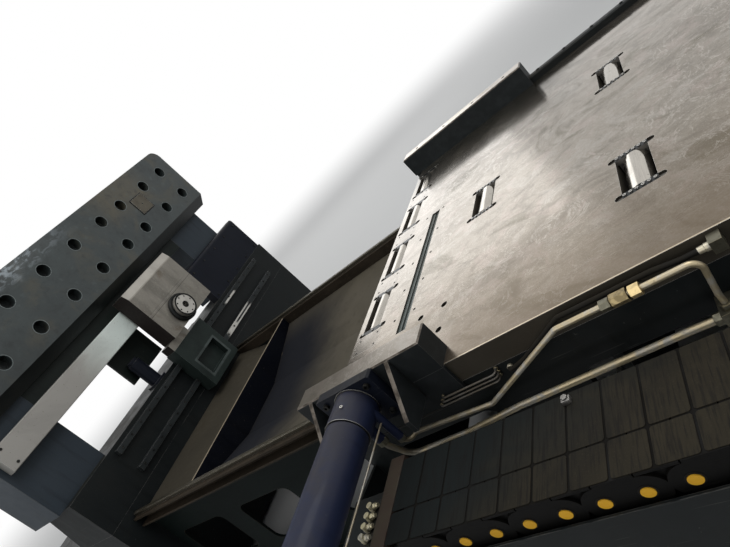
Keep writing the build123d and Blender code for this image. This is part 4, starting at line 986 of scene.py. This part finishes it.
class Shape:
    """A mesh that grows from bevelled blocks, turned profiles and bent tubes."""

    def __init__(self):
        self.mesh = bmesh.new()

    def block(self, low, high, bevel=0.001):
        """A box between two corners with its edges rounded."""
        low, high = Vector(low), Vector(high)
        middle = Matrix.Translation((low + high) / 2) @ Matrix.Diagonal((*(high - low), 1))
        made = bmesh.ops.create_cube(self.mesh, size=1, matrix=middle)
        lines = list(dict.fromkeys(line for vert in made["verts"] for line in vert.link_edges))
        bmesh.ops.bevel(
            self.mesh, geom=lines, offset=bevel, segments=2, affect="EDGES", profile=0.5, clamp_overlap=True
        )

    def turned(self, start, aim, profile, sides=32, turn=0.0, hollow=False):
        """A profile of (distance along, radius) pairs turned about an axis, closed at its ends or hollow."""
        aim = Vector(aim).normalized()
        to_aim = aim.to_track_quat("Z", "Y").to_matrix()
        rings = []
        for along, radius in profile:
            ring = []
            for index in range(sides):
                angle = turn + 2 * math.pi * index / sides
                around = Vector((math.cos(angle) * radius, math.sin(angle) * radius, along))
                ring.append(self.mesh.verts.new(Vector(start) + to_aim @ around))
            rings.append(ring)
        for first, second in zip(rings, rings[1:] + (rings[:1] if hollow else [])):
            for index in range(sides):
                following = (index + 1) % sides
                self.mesh.faces.new((first[index], first[following], second[following], second[index]))
        if not hollow:
            self.mesh.faces.new(reversed(rings[0]))
            self.mesh.faces.new(rings[-1])

    def collar(self, start, aim, inner, outer, height, sides=48):
        """A flat ring round an axis."""
        profile = ((0, inner), (0, outer), (height, outer), (height, inner))
        self.turned(start, aim, profile, sides=sides, hollow=True)

    def bead(self, start, end, radius):
        """A line of weld with a rippled skin."""
        start, end = Vector(start), Vector(end)
        run = (end - start).length
        count = max(4, int(run / (radius * 0.5)))
        profile = [(0, radius * 0.4)]
        for index in range(count + 1):
            along = radius * 0.3 + (run - radius * 0.6) * index / count
            profile.append((along, radius * (1 + 0.13 * math.sin(index * 2.1))))
        profile.append((run, radius * 0.4))
        self.turned(start, end - start, profile, sides=8)

    def nut(self, start, aim, flats, height, turn=0.0):
        """A hexagon with chamfered corners, made from two crossing profiles."""
        corner = flats / 2 / math.cos(math.pi / 6)
        trim = flats * 0.06
        profile = ((0, corner - trim), (trim, corner), (height - trim, corner), (height, corner - trim))
        self.turned(start, aim, profile, sides=6, turn=turn)

    def done(self, name, body, finish, smooth_angle=0.6):
        """The finished piece, riding on its body."""
        for face in self.mesh.faces:
            face.smooth = True
        bmesh.ops.recalc_face_normals(self.mesh, faces=self.mesh.faces)
        for line in self.mesh.edges:
            if len(line.link_faces) == 2 and line.calc_face_angle(0) > smooth_angle:
                line.smooth = False
        data = bpy.data.meshes.new(name)
        self.mesh.to_mesh(data)
        self.mesh.free()
        data.materials.append(FINISHES[finish])
        return add_piece(name, data, body)


def islands(node):
    """The lowest and highest corners of each separate solid of a CAD node."""
    mesh = bmesh.new()
    mesh.from_mesh(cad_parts[node].data)
    bmesh.ops.remove_doubles(mesh, verts=mesh.verts, dist=1e-5)
    left = dict.fromkeys(mesh.verts)
    found = []
    while left:
        group = [left.popitem()[0]]
        for vert in group:
            for line in vert.link_edges:
                other = line.other_vert(vert)
                if other in left:
                    del left[other]
                    group.append(other)
        places = [v.co for v in group]
        low = Vector(min(p[axis] for p in places) for axis in range(3))
        high = Vector(max(p[axis] for p in places) for axis in range(3))
        found.append((low.copy(), high.copy()))
    mesh.free()
    return sorted(found, key=lambda pair: tuple(round(value, 4) for value in pair[0]))


# Geometry Nodes tools


class Plan(Tree):
    """A Geometry Nodes tree that turns marked points into realised copies of one shape."""

    def __init__(self, name, sizes):
        self.tree = bpy.data.node_groups.new(name, "GeometryNodeTree")
        face = self.tree.interface
        face.new_socket("Geometry", in_out="INPUT", socket_type="NodeSocketGeometry")
        face.new_socket("Geometry", in_out="OUTPUT", socket_type="NodeSocketGeometry")
        face.new_socket("Material", in_out="INPUT", socket_type="NodeSocketMaterial")
        for title, value in sizes.items():
            kind = "NodeSocketInt" if isinstance(value, int) else "NodeSocketFloat"
            face.new_socket(title, in_out="INPUT", socket_type=kind).default_value = value
        self.entry = self.node("NodeGroupInput")

    def size(self, title):
        """A named input of the tree."""
        return Wire(self, self.entry.outputs[title])

    def join(self, *parts):
        """Several geometries as one."""
        made = self.node("GeometryNodeJoinGeometry")
        for part in parts:
            self.tree.links.new(part.socket, made.inputs[0])
        return Wire(self, made.outputs[0])

    def shift(self, part, offset):
        """A geometry moved along Z by a number."""
        place = self.wire("ShaderNodeCombineXYZ", {}, {"Z": offset})
        return self.wire("GeometryNodeTransform", {}, {"Geometry": part, "Translation": place})

    def ring(self, corners, radius):
        """A closed curve with a number of corners."""
        values = {"Resolution": corners, "Radius": radius}
        return self.wire("GeometryNodeCurvePrimitiveCircle", {"mode": "RADIUS"}, values)

    def fill(self, outline):
        """The flat face inside an outline."""
        return self.wire("GeometryNodeFillCurve", {}, {"Curve": outline})

    def slab(self, outline, height):
        """A flat outline filled and pulled up into a solid with both its ends."""
        flat = self.fill(outline)
        values = {"Mesh": flat, "Offset Scale": height, "Individual": False}
        raised = self.wire("GeometryNodeExtrudeMesh", {"mode": "FACES"}, values)
        return self.join(raised, self.wire("GeometryNodeFlipFaces", {}, {"Mesh": flat}))

    def scatter(self, shape):
        """Copies of a shape on the points, aimed by their attributes, made real."""
        kind = "GeometryNodeInputNamedAttribute"
        aim = self.wire(kind, {"data_type": "FLOAT_VECTOR"}, {"Name": "aim"})
        grow = self.wire(kind, {"data_type": "FLOAT"}, {"Name": "grow"})
        turned = self.wire("FunctionNodeAlignRotationToVector", {"axis": "Z"}, {"Vector": aim})
        values = {"Points": self.size("Geometry"), "Instance": shape, "Rotation": turned, "Scale": grow}
        copies = self.wire("GeometryNodeInstanceOnPoints", {}, values)
        real = self.wire("GeometryNodeRealizeInstances", {}, {"Geometry": copies})
        values = {"Geometry": real, "Material": self.size("Material")}
        self.node("NodeGroupOutput", {}, {0: self.wire("GeometryNodeSetMaterial", {}, values)})
        return self.tree


# A hexagon's corner radius and its round collar's radius, as shares of its width across flats
HEXAGON_CORNER = 0.577
HEXAGON_COLLAR = 0.46


def cap_screw_plan():
    """A socket cap screw: a round head with a hexagonal recess."""
    plan = Plan("cap_screw", {"Radius": 0.005, "Height": 0.004, "Sides": 18})
    radius, height = plan.size("Radius"), plan.size("Height")
    recess = plan.ring(6, radius * 0.56)
    head = plan.slab(plan.join(plan.ring(plan.size("Sides"), radius), recess), height)
    return plan.scatter(plan.join(head, plan.shift(plan.fill(recess), height * 0.3)))


def hex_bolt_plan():
    """A hexagon head on a round washer, with a thread end that stands above it."""
    plan = Plan("hex_bolt", {"Flats": 0.024, "Height": 0.013, "Washer": 0.018, "Stud": 0.0})
    flats, height = plan.size("Flats"), plan.size("Height")
    rise = height * 0.22
    top = rise + height
    washer = plan.slab(plan.ring(24, plan.size("Washer")), rise)
    head = plan.slab(plan.ring(6, flats * HEXAGON_CORNER), height)
    crown = plan.slab(plan.ring(20, flats * HEXAGON_COLLAR), height * 0.07)
    stud = plan.slab(plan.ring(14, flats * 0.3), plan.size("Stud"))
    raised = (plan.shift(head, rise), plan.shift(crown, top), plan.shift(stud, top))
    return plan.scatter(plan.join(washer, *raised))


def panel_plan():
    """A low raised panel with rounded corners."""
    plan = Plan("raised_panel", {"Length": 0.074, "Width": 0.068, "Height": 0.0015, "Corner": 0.006})
    sides = {"Width": plan.size("Length"), "Height": plan.size("Width")}
    outline = plan.wire("GeometryNodeCurvePrimitiveQuadrilateral", {"mode": "RECTANGLE"}, sides)
    values = {"Curve": outline, "Radius": plan.size("Corner"), "Count": 4}
    rounded = plan.wire("GeometryNodeFilletCurve", {"mode": "POLY"}, values)
    return plan.scatter(plan.slab(rounded, plan.size("Height")))


def ring_plan():
    """A flat ring."""
    plan = Plan("flat_ring", {"Outer": 0.0175, "Inner": 0.0137, "Height": 0.0012})
    outline = plan.join(plan.ring(28, plan.size("Outer")), plan.ring(28, plan.size("Inner")))
    return plan.scatter(plan.slab(outline, plan.size("Height")))


def tube_nut_plan():
    """A hexagon nut with a narrower round collar behind it."""
    plan = Plan("tube_nut", {"Flats": 0.024, "Height": 0.014})
    flats, height = plan.size("Flats"), plan.size("Height")
    nut = plan.slab(plan.ring(6, flats * HEXAGON_CORNER), height)
    collar = plan.slab(plan.ring(20, flats * HEXAGON_COLLAR), height)
    return plan.scatter(plan.join(nut, plan.shift(collar, height * 0.12)))


PLANS = {}


def marked_points(name, marks):
    """A mesh of loose points with the aim and size of what stands on each."""
    data = bpy.data.meshes.new(name)
    data.from_pydata([tuple(place) for place, aim, grow in marks], [], [])
    data.attributes.new("aim", "FLOAT_VECTOR", "POINT")
    data.attributes.new("grow", "FLOAT", "POINT")
    aims, grows = data.attributes["aim"].data, data.attributes["grow"].data
    for index, (place, aim, grow) in enumerate(marks):
        aims[index].vector = aim
        grows[index].value = grow
    return add_object(name, data)


def spread(name, tree, marks, body, finish, sizes):
    """Runs a tree on marked points and keeps its result as a plain mesh."""
    if not marks:
        raise RuntimeError(f"{name} has no points to stand on")
    piece = marked_points(name + "_points", marks)
    modifier = piece.modifiers.new("spread", "NODES")
    modifier.node_group = tree
    titles = {s.name: s.identifier for s in tree.interface.items_tree if s.in_out == "INPUT"}
    modifier[titles["Material"]] = FINISHES[finish]
    for title, value in sizes.items():
        modifier[titles[title]] = value
    whole = piece.evaluated_get(bpy.context.evaluated_depsgraph_get())
    data = bpy.data.meshes.new_from_object(whole)
    bpy.data.objects.remove(piece)
    data.name = name
    if not data.polygons:
        raise RuntimeError(f"{name} came out empty")
    return add_piece(name, data, body)


def row(start, end, count):
    """Evenly spaced points from start to end."""
    start, end = Vector(start), Vector(end)
    return [start.lerp(end, index / (count - 1)) for index in range(count)]


def top_row(low, high, inset, count):
    """Evenly spaced points along the middle of a box's top."""
    middle = (low.y + high.y) / 2
    return row((low.x + inset, middle, high.z), (high.x - inset, middle, high.z), count)


def front_row(low, high, height, inset, count):
    """Evenly spaced points at one height on the face of a box that looks at the table."""
    return row((high.x, low.y + inset, height), (high.x, high.y - inset, height), count)


def on_face(place, aim, grow=1.0):
    """A mark for one fastener, sunk a hair into the face that carries it."""
    aim = Vector(aim)
    return (Vector(place) - aim * 0.0002, aim, grow)


# Operators

# Metres from the far bar's left end
FAR_BAR_SCREWS = (0.0985, 0.2955, 0.4925, 0.6895)
# The cylinder's middle line, in millimetres from the table's corner
CYLINDER_X, CYLINDER_Z = 215, 37
# Millimetres along the beam and up from its foot, and where the beam starts from the table's corner
BEAM_HOLES_ALONG = (118, 364, 610, 865, 1111, 1353, 1545, 1794, 1994)
BEAM_HOLES_UP = (151, 341)
BEAM_START = -90
# Left sides of the cylinder bracket's gussets and their thickness, in millimetres
GUSSETS = (44, 374)
GUSSET_WIDTH = 15
# The bracket's front face, in millimetres from the table's near edge
BRACKET_FRONT = -13
# Nuts on the large tubes: place in millimetres from the table's corner, way they point and size
TUBE_NUTS = (
    ((240, -108, -54), -UP, 1.25),
    ((265, -75, -99), -UP, 1.0),
    ((1130, -46, -178), -FACING_TABLE, 1.15),
    ((1150, -46, -158), UP, 1.0),
)
# Ends of the thin tubes at the table's edge and at the bracket, in millimetres along and down
THIN_TUBES_AT_TABLE = ((613, -80), (612, -92), (609, -104))
THIN_TUBES_AT_BRACKET = ((434, -80), (422, -92), (408, -104))
# Groups of raised panels on the lids: metres from the chain's front to their middle, and their width
LID_PANELS = {"lid_panels_front": (0.045, 0.084), "lid_panels_rear": (0.1695, 0.155)}


class MACHINE_OT_finishes(bpy.types.Operator):
    """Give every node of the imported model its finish"""

    bl_idname = "machine.finishes"
    bl_label = "Finishes"

    def execute(self, context):
        make_finishes(context.scene.machine_finish)
        for name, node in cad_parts.items():
            plain = "roller" if "roller_" in name else "body"
            finish = FINISHES[NODE_FINISH.get(name, plain)]
            node.data.materials.clear()
            node.data.materials.append(finish)
        return {"FINISHED"}


class MACHINE_OT_table_screws(bpy.types.Operator):
    """Screws in the roller bearings, edge bearings, edge covers, far bar and rear rail"""

    bl_idname = "machine.table_screws"
    bl_label = "Table screws"

    def execute(self, context):
        s = context.scene.machine_fasteners
        small, large, sunk = [], [], []
        for node, inset_share, count in (("roller_bearings", 0.2, 6), ("edge_bearings", 0.16, 3)):
            for low, high in islands(node):
                inset = (high.x - low.x) * inset_share
                small += [on_face(place, UP) for place in top_row(low, high, inset, count)]
        inset, depth = 0.015, 0.005
        for low, high in islands("edge_covers"):
            for x in (low.x + inset, high.x - inset):
                for y in (low.y + inset, high.y - inset):
                    sunk.append(on_face((x, y, high.z - depth), UP, 1.02))
        low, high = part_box("far_bar")
        depth = 0.006
        for x in FAR_BAR_SCREWS:
            large.append(on_face((low.x + x, (low.y + high.y) / 2, high.z - depth), UP, 1.2))
        low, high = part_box("rear_rail")
        large += [on_face(place, UP, 1.2) for place in top_row(low, high, 0.05, 13)]
        cap_sizes = {"Radius": s.cap_radius, "Height": s.cap_height}
        rail_sizes = {"Radius": s.rail_cap_radius, "Height": s.cap_height}
        spread("bearing_screws", PLANS["cap"], small, "bed", "screw", cap_sizes)
        spread("cover_screws", PLANS["cap"], sunk, "bed", "black_screw", cap_sizes)
        spread("rail_screws", PLANS["cap"], large, "bed", "black_screw", rail_sizes)
        return {"FINISHED"}


class MACHINE_OT_cylinder_details(bpy.types.Operator):
    """Screws of the cylinder's flange, the rims of its head, and its plug"""

    bl_idname = "machine.cylinder_details"
    bl_label = "Cylinder details"

    def execute(self, context):
        s = context.scene.machine_fasteners
        low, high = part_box("cylinder_flange")
        marks, inset = [], 0.026
        for x in (low.x + inset, high.x - inset):
            for z in (low.z + inset, high.z - inset):
                marks.append(on_face((x, low.y, z), FACING_FRONT))
        spread(
            "flange_screws", PLANS["cap"], marks, "bed", "black_screw",
            {"Radius": s.flange_cap_radius, "Height": s.flange_cap_radius},
        )
        rims = Shape()
        rims.collar(spot(CYLINDER_X, -48, CYLINDER_Z), FACING_FRONT, 0.0635, 0.0695, 0.0012)
        rims.collar(spot(CYLINDER_X, -151.6, CYLINDER_Z), FACING_FRONT, 0.0605, 0.0655, 0.0016)
        rims.done("cylinder_rims", "bed", "rim")
        plug = [on_face(spot(236, -109, 98.4), (0.32, 0, 0.947))]
        spread(
            "cylinder_plug", PLANS["cap"], plug, "bed", "screw",
            {"Radius": s.cap_radius * 1.1, "Height": s.cap_height},
        )
        return {"FINISHED"}


class MACHINE_OT_tube_nuts(bpy.types.Operator):
    """Nuts at the ends of the tubes and on the valve fittings, and the hose's ferrules"""

    bl_idname = "machine.tube_nuts"
    bl_label = "Tube nuts"

    def execute(self, context):
        s = context.scene.machine_fasteners
        marks = [(spot(*place), aim, grow) for place, aim, grow in TUBE_NUTS]
        marks += [(spot(along, 0, drop), FACING_FRONT, 0.42) for along, drop in THIN_TUBES_AT_TABLE]
        for along, drop in THIN_TUBES_AT_BRACKET:
            marks.append((spot(along, BRACKET_FRONT, drop), FACING_FRONT, 0.36))
        sizes = {"Flats": s.tube_nut_flats, "Height": s.tube_nut_flats * 0.58}
        spread("tube_nuts", PLANS["nut"], marks, "bed", "union", sizes)
        caps = []
        for low, high in islands("valve_fittings"):
            middle = (low.y + high.y) / 2
            caps.append(((low.x + 0.009, middle, low.z), UP, 0.74))
            caps.append(((high.x - 0.016, middle, (low.z + high.z) / 2), FACING_TABLE, 0.62))
        spread("valve_nuts", PLANS["nut"], caps, "bed", "valve", sizes)
        ferrules = Shape()
        short = ((0, 0.008), (0.007, 0.0086), (0.009, 0.0076))
        stepped = ((0, 0.0095), (0.01, 0.0095), (0.011, 0.0082), (0.024, 0.0078))
        ferrules.turned(spot(648, 0, -95), FACING_FRONT, short, 20)
        ferrules.turned(spot(1190, -20, -22), -FACING_TABLE, stepped, 20)
        ferrules.done("hose_ferrules", "bed", "pale")
        return {"FINISHED"}


class MACHINE_OT_chain_details(bpy.types.Operator):
    """Raised panels on the drag chain's lids, and rings round its pins"""

    bl_idname = "machine.chain_details"
    bl_label = "Drag chain details"

    def execute(self, context):
        low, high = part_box("drag_chain")
        pins = [((pin_low + pin_high) / 2, pin_high.y) for pin_low, pin_high in islands("chain_pins")]
        for name, (back, width) in LID_PANELS.items():
            marks = [on_face((middle.x, low.y + back, high.z), UP) for middle, rear in pins]
            sizes = {"Length": 0.0772, "Width": width, "Height": 0.0016}
            spread(name, PLANS["panel"], marks, "bed", "lid", sizes)
        rings = [on_face((middle.x, rear, middle.z), FACING_FRONT) for middle, rear in pins]
        spread("pin_rings", PLANS["ring"], rings, "bed", "hose", {})
        clip = Shape()
        clip.block(spot(800, -206, -98), spot(821, -190, -84), 0.002)
        clip.nut(spot(810.5, -198, -84), UP, 0.014, 0.006, 0.3)
        clip.done("chain_clip", "bed", "machined")
        return {"FINISHED"}


class MACHINE_OT_beam_details(bpy.types.Operator):
    """Machined rims of the beam's holes and the joint round its pad"""

    bl_idname = "machine.beam_details"
    bl_label = "Beam details"

    def execute(self, context):
        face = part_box("beam")[1].x
        marks = []
        for along in BEAM_HOLES_ALONG:
            for up in BEAM_HOLES_UP:
                place = spot(0, BEAM_START + along, BEAM_FOOT / MM + up)
                marks.append(on_face((face, place.y, place.z), FACING_TABLE))
        sizes = {"Outer": 0.0385, "Inner": 0.0352, "Height": 0.0007}
        spread("beam_hole_rims", PLANS["ring"], marks, "bed", "hole_rim", sizes)
        low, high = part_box("beam_pad")
        joint = Shape()
        wide, sunk, proud = 0.006, 0.0004, 0.0022
        for y in (low.y - wide, high.y):
            joint.block((face - sunk, y, low.z - wide), (face + proud, y + wide, high.z + wide), sunk)
        for z in (low.z - wide, high.z):
            joint.block((face - sunk, low.y, z), (face + proud, high.y, z + wide), sunk)
        joint.done("pad_joint", "bed", "black")
        return {"FINISHED"}


class MACHINE_OT_welds(bpy.types.Operator):
    """Lines of weld along the cylinder bracket's gussets and the tray's bar"""

    bl_idname = "machine.welds"
    bl_label = "Welds"

    def execute(self, context):
        beads = Shape()
        for start in GUSSETS:
            for x in (start, start + GUSSET_WIDTH):
                beads.bead(spot(x, BRACKET_FRONT, -58), spot(x, BRACKET_FRONT, 98), 0.0032)
            end = start + GUSSET_WIDTH
            beads.bead(spot(start, BRACKET_FRONT, -60), spot(end, BRACKET_FRONT, -60), 0.0032)
        beads.bead(spot(-12, BRACKET_FRONT, -119), spot(502, BRACKET_FRONT, -119), 0.003)
        beads.done("bracket_welds", "bed", "black", 1.2)
        return {"FINISHED"}


class MACHINE_OT_saw_screws(bpy.types.Operator):
    """Screws of the saw unit's rails, cover, spindle ring and guide bar, and the spindle's hub"""

    bl_idname = "machine.saw_screws"
    bl_label = "Saw unit screws"

    def execute(self, context):
        s = context.scene.machine_fasteners
        fixed = []
        for low, high in islands("saw_rails"):
            places = front_row(low, high, (low.z + high.z) / 2, 0.03, 21)
            fixed += [on_face(place, FACING_TABLE, 0.85) for place in places]
        low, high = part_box("drive_cover")
        for height in (low.z + 0.02, high.z - 0.045):
            fixed += [on_face(place, FACING_TABLE) for place in front_row(low, high, height, 0.03, 5)]
        low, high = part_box("guide_bar")
        for place in row((high.x, low.y + 0.04, high.z - 0.02), (high.x, low.y + 0.04, low.z + 0.02), 2):
            fixed.append(on_face(place, FACING_TABLE))
        low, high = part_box("spindle_ring")
        middle, across = (low + high) / 2, (high.y - low.y) / 2 * 0.86
        ring = []
        for index in range(8):
            angle = math.pi * (index + 0.5) / 4
            place = (high.x - 0.002, middle.y + math.cos(angle) * across, middle.z + math.sin(angle) * across)
            ring.append(on_face(place, FACING_TABLE, 0.75))
        sizes = {"Radius": s.rail_cap_radius, "Height": s.cap_height}
        low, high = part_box("spindle")
        hub = Shape()
        middle = (low + high) / 2
        hub.collar((high.x - 0.007, middle.y, middle.z), FACING_TABLE, 0.011, 0.0198, 0.005)
        hub.collar((high.x - 0.0004, middle.y, middle.z), FACING_TABLE, 0.0585, 0.0683, 0.0012)
        hub.done("spindle_hub", "spindle", "black")
        spread("saw_unit_screws", PLANS["cap"], fixed, "bed", "black_screw", sizes)
        spread("ring_screws", PLANS["cap"], ring, "carriage", "black_screw", sizes)
        return {"FINISHED"}


class MACHINE_OT_levelling_nuts(bpy.types.Operator):
    """Nuts and studs on the feet above the levelling pads"""

    bl_idname = "machine.levelling_nuts"
    bl_label = "Levelling nuts"

    def execute(self, context):
        s = context.scene.machine_fasteners
        marks = []
        for low, high in islands("levelling_pads"):
            middle = (low + high) / 2
            outside = middle.y < TABLE_LOW.y + 0.2 or middle.y > TABLE_HIGH.y - 0.2
            if outside and middle.x > TABLE_LOW.x:
                marks.append(on_face((middle.x, middle.y, high.z + 0.03), UP))
        spread(
            "levelling_nuts", PLANS["hex"], marks, "bed", "screw",
            {
                "Flats": s.stud_flats,
                "Height": s.stud_flats * 0.5,
                "Washer": s.stud_flats * 0.75,
                "Stud": s.stud_flats * 0.6,
            },
        )
        return {"FINISHED"}


# Place and aim in metres, then width and depth
LAMPS = {
    "key": ((-3.2, 5.2, 2.9), (0.2, 0.2, 0.6), (5.0, 3.0)),
    "top": ((1.6, 0.2, 5.0), (-0.2, 0.0, 0.6), (3.0, 3.0)),
    "fill": ((-1.6, -4.4, 2.6), (-0.4, 0.0, 0.6), (3.5, 2.2)),
}
FLOOR_RADIUS = 45
FLOOR_DROP = 0.0015
FADE_START, FADE_END = 4.5, 12.0
SKY_COLOUR = (0.94, 0.97, 1.0, 1.0)
WHITE = (1.0, 1.0, 1.0, 1.0)
# The camera as solved from the picture, which was taken with a strong tilt, in metres and radians
CAMERA_PLACE = Vector((1.1972, -1.6809, 1.3799))
CAMERA_YAW = 0.63
CAMERA_PITCH = 0.2781
CAMERA_ROLL = -0.0069 - math.radians(46)


class MACHINE_OT_stage(bpy.types.Operator):
    """Floor, lamps, surroundings and camera"""

    bl_idname = "machine.stage"
    bl_label = "Stage"

    def execute(self, context):
        s = context.scene.machine_stage
        scene = context.scene
        scene.view_settings.view_transform = "Standard"
        self.add_floor(s)
        self.add_surroundings(scene, s)
        for name, (place, target, size) in LAMPS.items():
            self.add_lamp(name + "_lamp", place, target, size, getattr(s, name + "_power"))
        self.add_camera(scene, s)
        return {"FINISHED"}

    def add_floor(self, s):
        """A wide plain floor that fades to white far from the machine."""
        mesh = bmesh.new()
        bmesh.ops.create_circle(mesh, cap_ends=True, segments=96, radius=FLOOR_RADIUS)
        data = bpy.data.meshes.new("floor")
        mesh.to_mesh(data)
        mesh.free()
        data.transform(Matrix.Translation((0, 0, -FLOOR_DROP)))
        b = Board("floor_finish")
        place = b.point()
        apart = b.wire("ShaderNodeVectorMath", {"operation": "LENGTH"}, {0: place}, output="Value")
        cloud = b.noise(0.8, detail=3.0)
        tone = b.mix(cloud * 0.12, tuple(s.floor_colour), shade(s.floor_colour, 0.9))
        ground = b.wire("ShaderNodeBsdfPrincipled", {}, {"Base Color": tone, "Roughness": 0.7})
        glow = b.wire("ShaderNodeEmission", {}, {"Color": WHITE, "Strength": 1.0})
        seen = b.wire("ShaderNodeLightPath", output="Is Camera Ray")
        fade = apart.band(FADE_START, FADE_END) * seen
        mixed = b.wire("ShaderNodeMixShader", {}, {0: fade, 1: ground, 2: glow})
        b.node("ShaderNodeOutputMaterial", {}, {"Surface": mixed})
        data.materials.append(b.owner)
        floor = add_object("floor", data)

    def add_surroundings(self, scene, s):
        """White to the camera and to gloss, and a soft light for the rest."""
        b = Board("surroundings", bpy.data.worlds.new("surroundings"))
        kinds = ("Camera", "Transmission", "Glossy")
        camera, through, gloss = (b.wire("ShaderNodeLightPath", output=f"Is {kind} Ray") for kind in kinds)
        soft = b.wire("ShaderNodeBackground", {}, {"Color": SKY_COLOUR, "Strength": s.ambient})
        plain = b.wire("ShaderNodeBackground", {}, {"Color": WHITE, "Strength": 1.0})
        values = {0: gloss.most(camera.most(through)), 1: soft, 2: plain}
        mixed = b.wire("ShaderNodeMixShader", {}, values)
        b.node("ShaderNodeOutputWorld", {}, {"Surface": mixed})
        scene.world = b.owner

    def add_lamp(self, name, place, target, size, power):
        """A wide soft lamp that faces a point."""
        data = bpy.data.lights.new(name, "AREA")
        data.shape = "RECTANGLE"
        data.size, data.size_y = size
        data.energy = power
        lamp = add_object(name, data)
        lamp.location = place
        lamp.rotation_euler = (Vector(target) - Vector(place)).to_track_quat("-Z", "Y").to_euler()
        lamp.visible_camera = False

    def add_camera(self, scene, s):
        """The camera at the photograph's place, turn and tilt."""
        data = bpy.data.cameras.new("camera")
        data.sensor_width = 36.0
        data.lens = s.focal_length
        data.clip_end = 200.0
        level = math.cos(CAMERA_PITCH)
        ahead = Vector((-math.sin(CAMERA_YAW) * level, math.cos(CAMERA_YAW) * level, -math.sin(CAMERA_PITCH)))
        side = Vector((math.cos(CAMERA_YAW), math.sin(CAMERA_YAW), 0))
        above = side.cross(ahead)
        turn_cos, turn_sin = math.cos(CAMERA_ROLL), math.sin(CAMERA_ROLL)
        right = side * turn_cos + above * turn_sin
        up = above * turn_cos - side * turn_sin
        turn = Matrix((right, up, -ahead)).transposed().to_4x4()
        camera = add_object("camera", data)
        camera.matrix_world = Matrix.Translation(CAMERA_PLACE) @ turn
        scene.camera = camera


class MACHINE_PT_panel(bpy.types.Panel):
    """Every step of the machine's looks, in order"""

    bl_idname = "MACHINE_PT_panel"
    bl_label = "Sawing and milling machine"
    bl_space_type = "VIEW_3D"
    bl_region_type = "UI"
    bl_category = "Machine"

    def draw(self, context):
        for step in STEPS:
            self.layout.operator(step.bl_idname)
        for group in (
            context.scene.machine_finish,
            context.scene.machine_fasteners,
            context.scene.machine_stage,
        ):
            for name in group.__annotations__:
                self.layout.prop(group, name)


STEPS = (
    MACHINE_OT_finishes,
    MACHINE_OT_table_screws,
    MACHINE_OT_cylinder_details,
    MACHINE_OT_tube_nuts,
    MACHINE_OT_chain_details,
    MACHINE_OT_beam_details,
    MACHINE_OT_welds,
    MACHINE_OT_saw_screws,
    MACHINE_OT_levelling_nuts,
    MACHINE_OT_stage,
)
GROUPS = (
    ("machine_finish", MachineFinishSettings),
    ("machine_fasteners", MachineFastenerSettings),
    ("machine_stage", MachineStageSettings),
)


def register():
    for name, group in GROUPS:
        bpy.utils.register_class(group)
        setattr(bpy.types.Scene, name, bpy.props.PointerProperty(type=group))
    for step in STEPS:
        bpy.utils.register_class(step)
    bpy.utils.register_class(MACHINE_PT_panel)


def unregister():
    bpy.utils.unregister_class(MACHINE_PT_panel)
    for step in reversed(STEPS):
        bpy.utils.unregister_class(step)
    for name, group in reversed(GROUPS):
        delattr(bpy.types.Scene, name)
        bpy.utils.unregister_class(group)


def main():
    register()
    PLANS.update(
        cap=cap_screw_plan(), hex=hex_bolt_plan(), panel=panel_plan(), ring=ring_plan(), nut=tube_nut_plan()
    )
    for step in STEPS:
        area, action = step.bl_idname.split(".")
        getattr(getattr(bpy.ops, area), action)()


if __name__ == "__main__":
    main()
